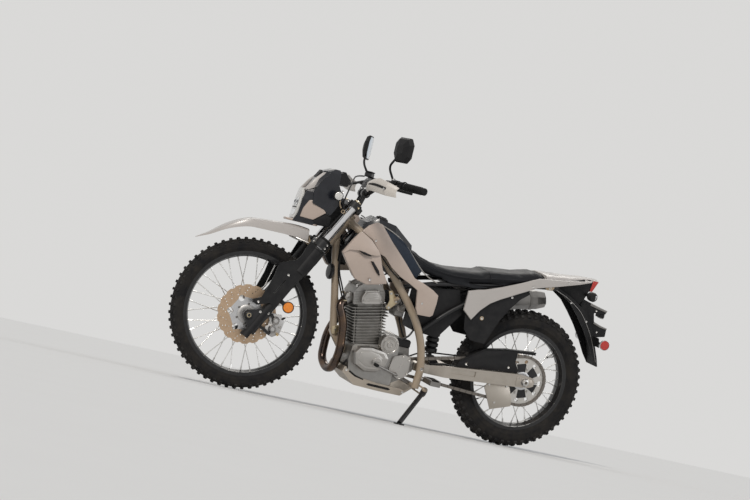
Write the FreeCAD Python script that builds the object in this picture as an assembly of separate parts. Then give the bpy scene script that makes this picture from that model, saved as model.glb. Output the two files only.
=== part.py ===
"""Dual sport motorcycle, parked on its side stand, in millimetres.

Every piece is drawn in the upright bike frame: x runs rearward from the rear axle, y to the rider's
right, z up from the ground.  Pieces that turn with the steering are drawn straight ahead and turned
by the steering angle, and at the end the whole bike is leaned onto its side stand.
"""
import math
import os

import FreeCAD
import Part
from FreeCAD import Vector

# Chassis geometry
WHEELBASE = 1365.0
RAKE = 27.0                 # steering axis from the vertical, degrees
FORK_OFFSET = 82.0          # front axle ahead of the steering axis
STEER_ANGLE = 10.0          # steering turned to the right as parked, degrees
STEER_LOCK = 42.0           # each way from straight ahead
LEAN_ANGLE = 7.5            # leaning to the left on the side stand

# Wheels: overall radius, section radius, half width, rim seat radius, rim half width
FRONT_TYRE_RADIUS = 340.0
FRONT_TYRE_SECTION = 38.0
FRONT_RIM_SEAT = 268.0
FRONT_RIM_HALF = 31.0
REAR_TYRE_RADIUS = 322.0
REAR_TYRE_SECTION = 52.0
REAR_RIM_SEAT = 230.0
REAR_RIM_HALF = 41.0
RIM_WALL = 3.0
SPOKE_COUNT = 36
SPOKE_RADIUS = 2.0
AXLE_RADIUS = 10.0
AXLE_BORE = 7.0
RUNNING_GAP = 0.05

# Brakes
FRONT_DISC_RADIUS = 132.5
REAR_DISC_RADIUS = 110.0
DISC_THICKNESS = 4.0
FRONT_DISC_Y = -62.0
REAR_DISC_Y = 64.0

# Fork
FORK_HALF_SPREAD = 97.0
FORK_LEG_X = -29.0          # leg centre ahead of the steering axis
STANCHION_RADIUS = 18.5
SLIDER_RADIUS = 24.0
GUARD_RADIUS = 28.0         # moulded cover round a leg
GUARD_TOP_RADIUS = 35.0
LOWER_CLAMP_Z = (772.0, 808.0)
UPPER_CLAMP_Z = (1004.0, 1030.0)
HEAD_TUBE_Z = (826.0, 990.0)
STEM_RADIUS = 14.0
STEM_BORE = 16.0            # bearing bore of the head tube
HEAD_TUBE_RADIUS = 27.0
BAR_RADIUS = 11.0
BAR_SEAT = (-962.0, 985.0)  # middle of the handlebar
STEER_FOOT_X = -1446.2      # where the steering axis meets the ground
SEAT_GAP = 0.3              # a piece's gap to what carries it

# Chain drive: standard pitch, teeth, plane
CHAIN_PITCH = 15.875
REAR_TEETH = 45
FRONT_TEETH = 14
CHAIN_Y = -72.0
CHAIN_WIDTH = 18.0
COUNTERSHAFT = (-590.0, 270.0)

# Swingarm and side stand
SWING_PIVOT = (-520.0, 281.0)
ARM_INNER = 86.0
ARM_OUTER = 112.0
STAND_PIVOT = (-480.0, -118.0, 180.0)
STAND_LENGTH = 290.0
STAND_FOOT_Y = -318.0
STAND_FOLDED = (0.995, -0.085, -0.04)
STAND_TUBE = 11.0
STAND_EYE = 24.0            # length of the pivot eye
STAND_EYE_RADIUS = 15.0
STAND_PIN = 5.0
FOOT_THICKNESS = 6.0
MIDDLE_X = 659.0            # from the rear axle to the middle of the bike's length
MIDDLE_Y = 141.0

# Number plate carrier
PLATE_TOP = (290.0, 648.0)
PLATE_SLOPE = 17.0
PLATE_HOLE_AT = 76.0
PLATE_HOLE_Y = 70.0
PLATE_HOLE_RADIUS = 3.2
REFLECTOR_Y = 134.0         # side reflectors, inner face

# Engine
CYLINDER_LEAN = 12.5
CYLINDER_BASE = (-776.0, 305.0)

SIDES = (("left", -1.0), ("right", 1.0))


def trail():
    """Distance from the front contact to where the steering axis meets the ground."""
    rake = math.radians(RAKE)
    return (FRONT_TYRE_RADIUS * math.sin(rake) - FORK_OFFSET) / math.cos(rake)


FRONT_AXLE = (STEER_FOOT_X + trail(), FRONT_TYRE_RADIUS)
REAR_AXLE = (FRONT_AXLE[0] + WHEELBASE, REAR_TYRE_RADIUS)
STEER_FOOT = Vector(STEER_FOOT_X, 0, 0)
STEER_AXIS = Vector(math.sin(math.radians(RAKE)), 0, math.cos(math.radians(RAKE)))


# Basic shapes
def rounded_wire(points, radius, at):
    """Closed wire through 2D points with its corners rounded where the sides are long enough."""
    count = len(points)
    flat = [Vector(p[0], p[1], 0) for p in points]
    cuts = []
    for i in range(count):
        before = flat[i - 1] - flat[i]
        after = flat[(i + 1) % count] - flat[i]
        turn = before.getAngle(after)
        reach = radius / math.tan(turn / 2) if radius else 0.0
        reach = min(reach, 0.45 * before.Length, 0.45 * after.Length)
        start = flat[i] + before.normalize() * reach
        end = flat[i] + after.normalize() * reach
        middle = (start + end) * 0.5
        bulge = flat[i] - middle
        real = reach * math.tan(turn / 2)
        if reach < 0.05 or bulge.Length < 1e-6:
            cuts.append((flat[i], None, flat[i]))
            continue
        depth = math.hypot(real, reach) - real
        top = flat[i] - bulge.normalize() * depth
        cuts.append((start, top, end))
    edges = []
    for i in range(count):
        start, top, end = cuts[i]
        if top is not None:
            edges.append(Part.Arc(at(start.x, start.y), at(top.x, top.y), at(end.x, end.y)).toShape())
        following = cuts[(i + 1) % count][0]
        if (following - end).Length > 1e-6:
            edges.append(Part.makeLine(at(end.x, end.y), at(following.x, following.y)))
    return Part.Wire(edges)


def slab(points, y_from, y_to, radius=0.0):
    """Plate with an outline given in x and z, between two planes across the bike."""
    wire = rounded_wire(points, radius, lambda u, v: Vector(u, y_from, v))
    return Part.Face(wire).extrude(Vector(0, y_to - y_from, 0))


def deck(points, z_from, z_to, radius=0.0):
    """Plate with an outline given in x and y, between two heights."""
    wire = rounded_wire(points, radius, lambda u, v: Vector(u, v, z_from))
    return Part.Face(wire).extrude(Vector(0, 0, z_to - z_from))


def loft(sections):
    """Closed solid through sections of as many corners each, with straight sides."""
    wires = [Part.makePolygon([Vector(*p) for p in s] + [Vector(*s[0])]) for s in sections]
    return Part.makeLoft(wires, True, True)


def bar(start, end, radius):
    """Round bar between two points."""
    a, b = Vector(*start), Vector(*end)
    return Part.makeCylinder(radius, (b - a).Length, a, b - a)


def disc_y(radius, x, z, y_from, y_to):
    """Round boss or plate across the bike."""
    low, high = min(y_from, y_to), max(y_from, y_to)
    return Part.makeCylinder(radius, high - low, Vector(x, low, z), Vector(0, 1, 0))


def path_wire(points, share=0.45):
    """Straight runs joined by tangent arcs, each as large as its two runs allow."""
    pts = [Vector(*p) for p in points]
    edges = []
    here = pts[0]
    for i in range(1, len(pts) - 1):
        back = pts[i - 1] - pts[i]
        ahead = pts[i + 1] - pts[i]
        turn = back.getAngle(ahead)
        reach = share * min(back.Length, ahead.Length)
        start = pts[i] + back.normalize() * reach
        end = pts[i] + ahead.normalize() * reach
        radius = reach * math.tan(turn / 2)
        centre_line = ((start + end) * 0.5 - pts[i]).normalize()
        centre = pts[i] + centre_line * math.hypot(reach, radius)
        top = centre - centre_line * radius
        edges.append(Part.makeLine(here, start))
        edges.append(Part.Arc(start, top, end).toShape())
        here = end
    edges.append(Part.makeLine(here, pts[-1]))
    return Part.Wire(edges)


def tube(points, radius, share=0.45):
    """Round tube or rod along a route of runs and tangent arcs."""
    wire = path_wire(points, share)
    start, second = Vector(*points[0]), Vector(*points[1])
    profile = Part.Wire(Part.makeCircle(radius, start, second - start))
    return wire.makePipeShell([profile], True, False)


def ring(profile, x, z):
    """Turned piece from a profile of radius and y, about an axle across the bike."""
    wire = Part.makePolygon([Vector(r, y, 0) for r, y in profile + profile[:1]])
    solid = Part.Face(wire).revolve(Vector(0, 0, 0), Vector(0, 1, 0), 360)
    return moved(solid, x, 0, z)


def moved(shape, x, y, z):
    """Copy of a shape, shifted."""
    copy = shape.copy()
    copy.translate(Vector(x, y, z))
    return copy


def fused(shapes):
    """One solid from pieces that meet."""
    result = shapes[0].fuse(shapes[1:]) if len(shapes) > 1 else shapes[0]
    return result.removeSplitter()


def turned(shape, centre, axis, degrees):
    """Copy of a shape, turned about an axis."""
    copy = shape.copy()
    copy.rotate(centre, axis, degrees)
    return copy


def on_fork(shape):
    """From fork coordinates (z along the steering axis) to the straight-ahead bike frame."""
    copy = turned(shape, Vector(0, 0, 0), Vector(0, 1, 0), RAKE)
    copy.translate(STEER_FOOT)
    return copy


def on_cylinder(shape):
    """From the cylinder's own frame (z along its bore) to the bike frame."""
    copy = turned(shape, Vector(0, 0, 0), Vector(0, 1, 0), -CYLINDER_LEAN)
    copy.translate(Vector(CYLINDER_BASE[0], 0, CYLINDER_BASE[1]))
    return copy


# Wheels
def tyre(radius, section, seat, rim_half, x, z):
    """Tyre filling its rim, rounded by short facets across the tread."""
    bead = seat * 1.045
    bead_half = rim_half - RIM_WALL - SEAT_GAP
    half = [(seat + SEAT_GAP, bead_half), (bead, bead_half), (bead + 0.3 * section, section * 0.95)]
    steps = ((12.0, 1.0), (42.0, 0.92), (70.0, 0.60))
    crown = radius - section
    for angle, spread in steps:
        lift = math.sin(math.radians(angle))
        half.append((crown + section * lift, section * spread))
    half.append((radius, section * 0.16))
    profile = half + [(r, -y) for r, y in reversed(half)]
    return ring(profile, x, z)


def rim(seat, half_width, depth, x, z):
    """Rim with a well and two lips round the tyre's beads."""
    lip = seat * 1.04
    half = [(seat - depth, half_width * 0.3), (seat - depth * 0.45, half_width * 0.85),
            (seat - depth * 0.4, half_width), (lip, half_width), (lip, half_width - RIM_WALL),
            (seat, half_width - RIM_WALL)]
    return ring(half + [(r, -y) for r, y in reversed(half)], x, z)


def spokes(hub_radius, hub_half, rim_radius, x, z):
    """Wire spokes, crossed, in four sets that leave the hub's flanges inside and outside."""
    sets = ((-1, 1, 1.0), (-1, -1, -1.0), (1, 1, -1.0), (1, -1, 1.0))     # side, lead, outer face
    per_set = SPOKE_COUNT // len(sets)
    solids = []
    for row, (side, lead, face) in enumerate(sets):
        for i in range(per_set):
            outer = math.radians(360.0 * (i * len(sets) + row) / SPOKE_COUNT)
            inner = outer + lead * math.radians(62.0)
            start = Vector(hub_radius * math.cos(inner), side * (hub_half + face * 3.4), hub_radius * math.sin(inner))
            end = Vector(rim_radius * math.cos(outer), side * 4.0, rim_radius * math.sin(outer))
            solids.append(Part.makeCylinder(SPOKE_RADIUS, (end - start).Length, start, end - start))
    return moved(Part.makeCompound(solids), x, 0, z)


def petal_disc(radius, y, holes, x, z):
    """Brake disc with a scalloped edge on a slotted carrier."""
    outer = disc_y(radius, 0, 0, y - DISC_THICKNESS / 2, y + DISC_THICKNESS / 2)
    scallops = []
    for i in range(holes):
        angle = 2 * math.pi * (i + 0.5) / holes
        reach = radius + 9.0
        scallops.append(disc_y(14.0, reach * math.cos(angle), reach * math.sin(angle), y - 5, y + 5))
    windows = []
    for i in range(6):
        angle = 2 * math.pi * i / 6
        windows.append(disc_y(radius * 0.105, radius * 0.56 * math.cos(angle), radius * 0.56 * math.sin(angle), y - 5, y + 5))
    plate = outer.cut(scallops + windows)
    return moved(plate, x, 0, z)


def front_wheel():
    """Nodes of the front wheel, straight ahead."""
    x, z = FRONT_AXLE
    bore = AXLE_RADIUS + RUNNING_GAP
    face = FRONT_DISC_Y + DISC_THICKNESS / 2
    hub = ring([(bore, face - 8), (30, face - 8), (30, face), (46, face), (46, face + 7), (24, face + 12), (24, -36),
                (34, -35), (34, -28), (20, -22), (20, 22), (34, 28), (34, 35), (24, 36), (24, 60), (bore, 60)], x, z)
    disc = petal_disc(FRONT_DISC_RADIUS, FRONT_DISC_Y, 18, x, z)
    disc = disc.cut(disc_y(30.0 + SEAT_GAP / 2, x, z, FRONT_DISC_Y - 9, FRONT_DISC_Y + 9))
    return {
        "front_tyre": tyre(FRONT_TYRE_RADIUS, FRONT_TYRE_SECTION, FRONT_RIM_SEAT, FRONT_RIM_HALF, x, z),
        "front_rim": rim(FRONT_RIM_SEAT, FRONT_RIM_HALF, 14.0, x, z),
        "front_spokes": spokes(36.3, 31.5, FRONT_RIM_SEAT - 15.2, x, z),
        "front_hub": hub,
        "front_disc": disc,
    }


def rear_wheel():
    """Nodes of the rear wheel."""
    x, z = REAR_AXLE
    bore = AXLE_RADIUS + RUNNING_GAP
    left, right = CHAIN_Y + 3.0, REAR_DISC_Y - DISC_THICKNESS / 2
    hub = ring([(bore, left - 8), (30, left - 8), (30, left), (44, left), (44, left + 8), (40, -44), (56, -43),
                (56, -33), (34, -26), (34, 26), (56, 33), (56, 43), (36, 46), (36, right - 8), (52, right - 6),
                (52, right), (40, right), (40, right + 8), (bore, right + 8)], x, z)
    disc = petal_disc(REAR_DISC_RADIUS, REAR_DISC_Y, 16, x, z)
    disc = disc.cut(disc_y(40.0 + SEAT_GAP / 2, x, z, REAR_DISC_Y - 9, REAR_DISC_Y + 9))
    return {
        "rear_tyre": tyre(REAR_TYRE_RADIUS, REAR_TYRE_SECTION, REAR_RIM_SEAT, REAR_RIM_HALF, x, z),
        "rear_rim": rim(REAR_RIM_SEAT, REAR_RIM_HALF, 16.0, x, z),
        "rear_spokes": spokes(58.3, 38.0, REAR_RIM_SEAT - 17.2, x, z),
        "rear_hub": hub,
        "rear_disc": disc,
        "rear_sprocket": rear_sprocket(x, z),
    }


def rear_sprocket(x, z):
    """Toothed ring on a six-arm centre, with round windows in the ring."""
    pitch_radius = CHAIN_PITCH / 2 / math.sin(math.pi / REAR_TEETH)
    points = []
    for i in range(REAR_TEETH):
        for share, reach in ((-0.30, -4.6), (-0.12, 3.4), (0.12, 3.4), (0.30, -4.6)):
            angle = 2 * math.pi * (i + share) / REAR_TEETH
            radius = pitch_radius + reach
            points.append((radius * math.cos(angle), radius * math.sin(angle)))
    plate = slab(points, CHAIN_Y - 3.0, CHAIN_Y + 3.0)
    holes = [disc_y(9.0, 90 * math.cos(math.pi * i / 6), 90 * math.sin(math.pi * i / 6), CHAIN_Y - 5, CHAIN_Y + 5)
             for i in range(12)]
    plate = plate.cut(holes + [disc_y(30.0 + SEAT_GAP / 2, 0, 0, CHAIN_Y - 5, CHAIN_Y + 5)])
    return moved(plate, x, 0, z)


# Fork
def fork_nodes():
    """Fork legs, clamps, guards and the front axle, in fork coordinates."""
    axle_x, axle_z = -FORK_OFFSET, front_axle_height()
    bottom = axle_z - 54
    nodes = {}
    tubes = []
    for side, sign in SIDES:
        y = sign * FORK_HALF_SPREAD
        tubes.append(Part.makeCylinder(STANCHION_RADIUS, UPPER_CLAMP_Z[1] + 6 - 640, Vector(FORK_LEG_X, y, 640)))
        slider = Part.makeCylinder(SLIDER_RADIUS, 640 - bottom, Vector(FORK_LEG_X, y, bottom))
        lug = slab(by_front_axle([(-22, -10), (-22, 12), (-4, 26), (38, 72), (66, 72), (66, -38), (42, -44), (-2, -24)]),
                   y - 20, y + 20, 6)
        ears = [Part.makeBox(reach, 14, 13, Vector(-16, -96.3, axle_z + z)) for reach, z in ((66, -10), (30, 59))]
        ears = ears if sign < 0 else []
        slider = fused([slider, lug] + ears)
        slider = slider.cut(disc_y(AXLE_RADIUS + SEAT_GAP / 2, axle_x, axle_z, y - 60, y + 60))
        nodes["fork_slider_" + side] = slider
        nodes["fork_guard_" + side] = fork_guard(sign)
    nodes["fork_tubes"] = Part.makeCompound(tubes)
    nodes["lower_clamp"] = clamp(LOWER_CLAMP_Z, 34.0)
    nodes["upper_clamp"] = clamp(UPPER_CLAMP_Z, 30.0)
    nodes["steering_stem"] = stem()
    for name in ("lower_clamp", "upper_clamp"):
        nodes[name] = nodes[name].cut(Part.makeCylinder(STEM_RADIUS + SEAT_GAP / 2, 400, Vector(0, 0, 700)))
    axle = disc_y(AXLE_RADIUS, axle_x, axle_z, -126, 126)
    nodes["front_axle"] = axle.cut(disc_y(AXLE_BORE, axle_x, axle_z, -130, 130))
    return nodes


def by_front_axle(points):
    """Points given from the front axle, in fork coordinates."""
    height = front_axle_height()
    return [(x - FORK_OFFSET, z + height) for x, z in points]


def front_axle_height():
    """Front axle along the steering axis from the ground point of that axis."""
    rake = math.radians(RAKE)
    return trail() * math.sin(rake) + FRONT_TYRE_RADIUS * math.cos(rake)


def clamp(heights, boss):
    """Fork clamp: two leg bosses and a waisted bridge."""
    low, high = heights
    bridge = deck([(FORK_LEG_X - 20, -FORK_HALF_SPREAD), (FORK_LEG_X - 26, 0), (FORK_LEG_X - 20, FORK_HALF_SPREAD),
                   (FORK_LEG_X + 24, FORK_HALF_SPREAD), (26, 30), (26, -30), (FORK_LEG_X + 24, -FORK_HALF_SPREAD)],
                  low, high, 6)
    parts = [bridge]
    for _, sign in SIDES:
        parts.append(Part.makeCylinder(boss, high - low, Vector(FORK_LEG_X, sign * FORK_HALF_SPREAD, low)))
    body = fused(parts)
    for _, sign in SIDES:
        hole = Part.makeCylinder(STANCHION_RADIUS + SEAT_GAP / 2, 200,
                                 Vector(FORK_LEG_X, sign * FORK_HALF_SPREAD, low - 50))
        body = body.cut(hole)
    return body


def fork_guard(sign):
    """Moulded guard round one leg: a wide blade under the clamp that forks into the leg's cover and a prong to the axle."""
    y = sign * FORK_HALF_SPREAD
    axle_z = front_axle_height()
    cover = Part.makeCylinder(GUARD_RADIUS, 768 - axle_z + 84, Vector(FORK_LEG_X, y, axle_z - 84))
    shoulder = Part.makeCylinder(GUARD_TOP_RADIUS, 768 - 628, Vector(FORK_LEG_X, y, 628))
    blade = [(-84, 768), (-74, 690), (-78, 662), (-127, 606), (-124, 590), (-110, 548), (-99, 488), (-91, 437)]
    blade += by_front_axle([(-34, 66), (-26, 54), (-4, 58), (14, 76), (36, 100), (62, 100)])
    blade += [(-14, 495), (-12, 580), (-4, 640), (2, 700), (2, 768)]
    plate = slab(blade, y + sign * (GUARD_RADIUS - 7), y + sign * (GUARD_RADIUS + 1.5), 5)
    plate = plate.cut(slab([(-60, 560), (-53, 562), (-57, 486), (-65, 480)], y - 60, y + 60, 2))
    hollow = Part.makeCylinder(SLIDER_RADIUS + SEAT_GAP, 600, Vector(FORK_LEG_X, y, 200))
    behind = deck([(FORK_LEG_X + 8, -300), (FORK_LEG_X + 200, -300), (FORK_LEG_X + 200, 300), (FORK_LEG_X + 8, 300)],
                  100, 600)
    lug_room = slab(by_front_axle([(-118, -44), (-118, 30), (-10, 30), (50, 84), (102, 84), (102, -60), (52, -60)]),
                    y - 21, y + 21)
    inside = Part.makeBox(200, 60, 300, Vector(-130, min(sign * 16, sign * (abs(y) - 21)), axle_z - 90))
    return largest(fused([cover.cut([behind, inside]), shoulder, plate]).cut([hollow, lug_room]))


def largest(shape):
    """The largest solid of a shape."""
    return max(shape.Solids, key=lambda solid: solid.Volume)


def brake_caliper(sign, x, z, y, turn, half, piston):
    """Caliper straddling a disc, with its piston housings on the outer side."""
    body = slab([(-20, -46), (18, -50), (40, -26), (40, 28), (18, 50), (-22, 44)], -half, half, 6)
    slot = slab([(-60, -70), (26, -70), (26, 70), (-60, 70)], -DISC_THICKNESS / 2 - 1.5, DISC_THICKNESS / 2 + 1.5)
    body = body.cut(slot)
    if piston:
        body = fused([body] + [disc_y(17.0, 4, dz, sign * half, sign * (half + piston)) for dz in (-20, 20)])
    body = turned(body, Vector(0, 0, 0), Vector(0, 1, 0), turn)
    return moved(body, x, y, z)


def stem():
    """Steering stem with the collars that run in the head tube's bearings, in fork coordinates."""
    low, high = HEAD_TUBE_Z
    shaft = Part.makeCylinder(STEM_RADIUS, UPPER_CLAMP_Z[1] + 12 - LOWER_CLAMP_Z[0], Vector(0, 0, LOWER_CLAMP_Z[0]))
    collars = [Part.makeCylinder(STEM_BORE - RUNNING_GAP, 12, Vector(0, 0, z)) for z in (low, high - 12)]
    return fused([shaft] + collars)


def controls():
    """Handlebar, grips, levers and guards, straight ahead in the bike frame."""
    nodes = {}
    bar_x, bar_z = BAR_SEAT
    bar_points = [(-790, -400, 1046), (-921, -180, 1054), (bar_x, -80, bar_z), (bar_x, 80, bar_z),
                  (-921, 180, 1054), (-790, 400, 1046)]
    nodes["handlebar"] = tube(bar_points, BAR_RADIUS, 0.25)
    for side, sign in SIDES:
        foot, seat = Vector(-986, sign * 33, 900), Vector(BAR_SEAT[0], sign * 33, BAR_SEAT[1])
        riser = Part.makeCylinder(10, (seat - foot).Length, foot, seat - foot)
        block = disc_y(20, BAR_SEAT[0], BAR_SEAT[1], sign * 20, sign * 46)
        nodes["bar_riser_" + side] = fused([riser, block]).cut(
            disc_y(BAR_RADIUS + SEAT_GAP / 2, BAR_SEAT[0], BAR_SEAT[1], sign * 10, sign * 60))
        nodes["cowl_strut_" + side] = bar((-1078, sign * 55, 838), (-1056, sign * 92, 836), 7)
    for side, sign in SIDES:
        bend = Vector(-921, sign * 180, 1054)
        outer = Vector(-790, sign * 400, 1046)
        length = (outer - bend).Length
        direction = (outer - bend).normalize()
        hollow = Part.makeCylinder(BAR_RADIUS + SEAT_GAP / 2, length, bend, direction)
        sleeve = Part.makeCylinder(16.5, 132, bend + direction * (length - 130), direction)
        nodes["grip_" + side] = sleeve.cut(hollow)
        lever = tube([bend + direction * 69 + Vector(-20, 0, -4), bend + direction * 69 + Vector(-58, 0, -16),
                      bend + direction * 170 + Vector(-52, 0, -22), bend + direction * 238 + Vector(-40, 0, -22)],
                     6.0, 0.4)
        perch = Part.makeCylinder(19.0, 34, bend + direction * 52, direction)
        nodes["lever_" + side] = largest(fused([perch, lever]).cut(hollow))
        brace = tube([bend + direction * 39, bend + direction * 30 + Vector(-52, sign * 2, -22),
                      Vector(-1013, sign * 262, 1014)], 6.0, 0.3)
        collar = Part.makeCylinder(16.0, 13, bend + direction * 33, direction)
        nodes["handguard_" + side] = largest(fused([handguard(sign), brace, collar]).cut(hollow))
        nodes["mirror_" + side] = mirror(sign)
    return nodes


def handguard(sign):
    """Brush guard: a tapering moulded shield ahead of the grip, with a slot."""
    rows = [(225, -1000, 1000, 18), (262, -1010, 1020, 44), (330, -985, 1028, 66), (390, -955, 1020, 60),
            (415, -915, 1014, 46)]             # half width, front x, middle z, height
    outer = []
    for y, x, z, height in rows:
        outer.append([(x, sign * y, z - height / 2), (x - 8, sign * y, z), (x + 4, sign * y, z + height / 2),
                      (x + 10, sign * y, z + height / 2 - 2), (x, sign * y, z), (x + 6, sign * y, z - height / 2)])
    return loft(outer)


def mirror(sign):
    """Round-cornered mirror head on its stem."""
    stem = tube([(-900, sign * 236, 1066), (-938, sign * 256, 1120), (-925, sign * 330, 1175)], 5.0, 0.4)
    head = mirror_head()
    head = turned(head, Vector(0, 0, 0), Vector(0, 0, 1), -sign * 21.0)
    head = moved(head, -913, sign * 353, 1202)
    return largest(fused([stem, head]))


def mirror_head():
    """Mirror shell facing the rear, thicker at its middle."""
    width, height = 64.0, 56.0
    outline = [(-width, -height * 0.55), (-width * 0.62, -height), (width * 0.62, -height), (width, -height * 0.4),
               (width, height * 0.55), (width * 0.62, height), (-width * 0.62, height), (-width, height * 0.5)]

    def section(x, scale):
        return [(x, y * scale, z * scale) for y, z in outline]
    return loft([section(-22, 0.35), section(-12, 0.85), section(0, 1.0), section(8, 0.98)])


# Front bodywork
def fender():
    """High front fender: a ridged shell with a drooping beak."""
    rows = [(-1660, 622, 7, 2), (-1600, 660, 34, 12), (-1530, 716, 58, 24), (-1454, 757, 72, 38),
            (-1330, 772, 74, 48), (-1235, 778, 68, 54), (-1172, 774, 58, 60)]   # x, ridge z, half width, drop
    wall = 3.5
    sections = []
    for x, z, half, drop in rows:
        top = [(-half, z - drop), (-half * 0.8, z - drop * 0.35), (-half * 0.25, z), (half * 0.25, z),
               (half * 0.8, z - drop * 0.35), (half, z - drop)]
        under = [(y * 0.95, height - wall) for y, height in reversed(top)]
        sections.append([(x, y, height) for y, height in top + under])
    return loft(sections)


def headlight_nodes():
    """Headlight housing, lens, side covers, meter and front lamps, straight ahead."""
    rows = [(-1262, 792, 50, 70, -1160), (-1246, 832, 60, 82, -1110), (-1243, 897, 66, 86, -1105),
            (-1232, 936, 64, 84, -1100), (-1200, 1000, 54, 74, -1095), (-1172, 1040, 42, 62, -1095),
            (-1135, 1058, 32, 48, -1100)]     # front x, z, front half width, rear half width, rear x
    sections = []
    for front, z, narrow, wide, back in rows:
        bend = front + (back - front) * 0.35
        sections.append([(front, -narrow, z), (front, narrow, z), (bend, wide, z), (back, wide, z), (back, -wide, z),
                         (bend, -wide, z)])
    mount = slab([(-1212, 774), (-1178, 772), (-1164, 744), (-1150, 714.6), (-1098, 688), (-1102, 680), (-1156, 704), (-1204, 730)],
                 -30, 30)
    nodes = {"headlight_cowl": loft(sections), "fender_shell": fender(), "fender_mount": mount}
    lens = loft([[(-1258, -42, 806), (-1258, 42, 806), (-1249, 46, 806), (-1249, -46, 806)],
                 [(-1254, -52, 860), (-1254, 52, 860), (-1244.5, 56, 860), (-1244.5, -56, 860)],
                 [(-1247, -50, 918), (-1247, 50, 918), (-1238, 54, 918), (-1238, -54, 918)]])
    nodes["headlight_lens"] = lens.cut(nodes["headlight_cowl"])
    nodes["meter"] = slab([(-1096, 1000), (-1094, 1046), (-1082, 1054), (-1046, 1024), (-1056, 992)], -62, 62, 4)
    bracket = slab([(-1100, 800), (-1100, 960), (-1070, 960), (-1052, 880), (-1080, 800)], -60, 60, 4)
    nodes["headlight_bracket"] = bracket.cut(slab([(-1085, 700), (-1052, 1000), (-900, 1000), (-900, 700)], -47, 47))
    for side, sign in SIDES:
        nodes["cowl_side_" + side] = slab([(-1200, 888), (-1204, 944), (-1152, 1036), (-1116, 1020), (-1066, 934),
                                           (-1108, 850), (-1142, 870)], sign * 80, sign * 93, 6).cut(nodes["headlight_cowl"])
        lamp = disc_y(22, -1105, 944, sign * 132, sign * 168)
        stalk = bar((-1096, sign * 84, 934), (-1103, sign * 134, 942), 8)
        nodes["front_signal_" + side] = fused([lamp, stalk])
    return nodes


# Frame
def frame_nodes():
    """Perimeter spars, downtube cradle, subframe and pivot plates."""
    head = on_fork(Part.makeCylinder(HEAD_TUBE_RADIUS, HEAD_TUBE_Z[1] - HEAD_TUBE_Z[0], Vector(0, 0, HEAD_TUBE_Z[0])))
    bore = on_fork(Part.makeCylinder(STEM_BORE, 400, Vector(0, 0, 700)))
    spars = []
    for _, sign in SIDES:
        spars.append(tube([(-1003, sign * 14, 852), (-940, sign * 62, 812), (-840, sign * 112, 735),
                           (-745, sign * 122, 640), (-660, sign * 122, 552), (-595, sign * 120, 470),
                           (-550, sign * 116, 388), (-520, sign * 112, 281), (-524, sign * 110, 190)], 17.5))
    main = fused([head] + spars).cut([bore, disc_y(10, SWING_PIVOT[0], SWING_PIVOT[1], -160, 160)])
    down = tube([(-1042, 0, 800), (-1018, 0, 680), (-980, 0, 540), (-938, 0, 360)], 17).cut(bore)
    lug = slab([(-955, 352), (-922, 380), (-880, 320), (-862, 300), (-862, 262), (-886, 268), (-940, 330)], -13, 13, 5)
    foot = bar((-524, -110, 196), (-524, 110, 196), 11)
    nodes = {"frame_spars": largest(main), "frame_cradle": fused([down, lug]), "frame_foot": foot}
    upper = []
    for _, sign in SIDES:
        upper.append(tube([(-700, sign * 92, 622), (-560, sign * 88, 668), (-380, sign * 84, 700),
                           (-120, sign * 78, 752), (60, sign * 62, 776)], 11))
        upper.append(tube([(-562, sign * 98, 452), (-420, sign * 92, 590), (-180, sign * 82, 730)], 10))
    cross = [bar((-380, -84, 700), (-380, 84, 700), 10), bar((30, -66, 770), (30, 66, 770), 10),
             bar((-470, -86, 683), (-470, 86, 683), 10)]
    nodes["subframe"] = fused(upper + cross)
    return nodes


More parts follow.
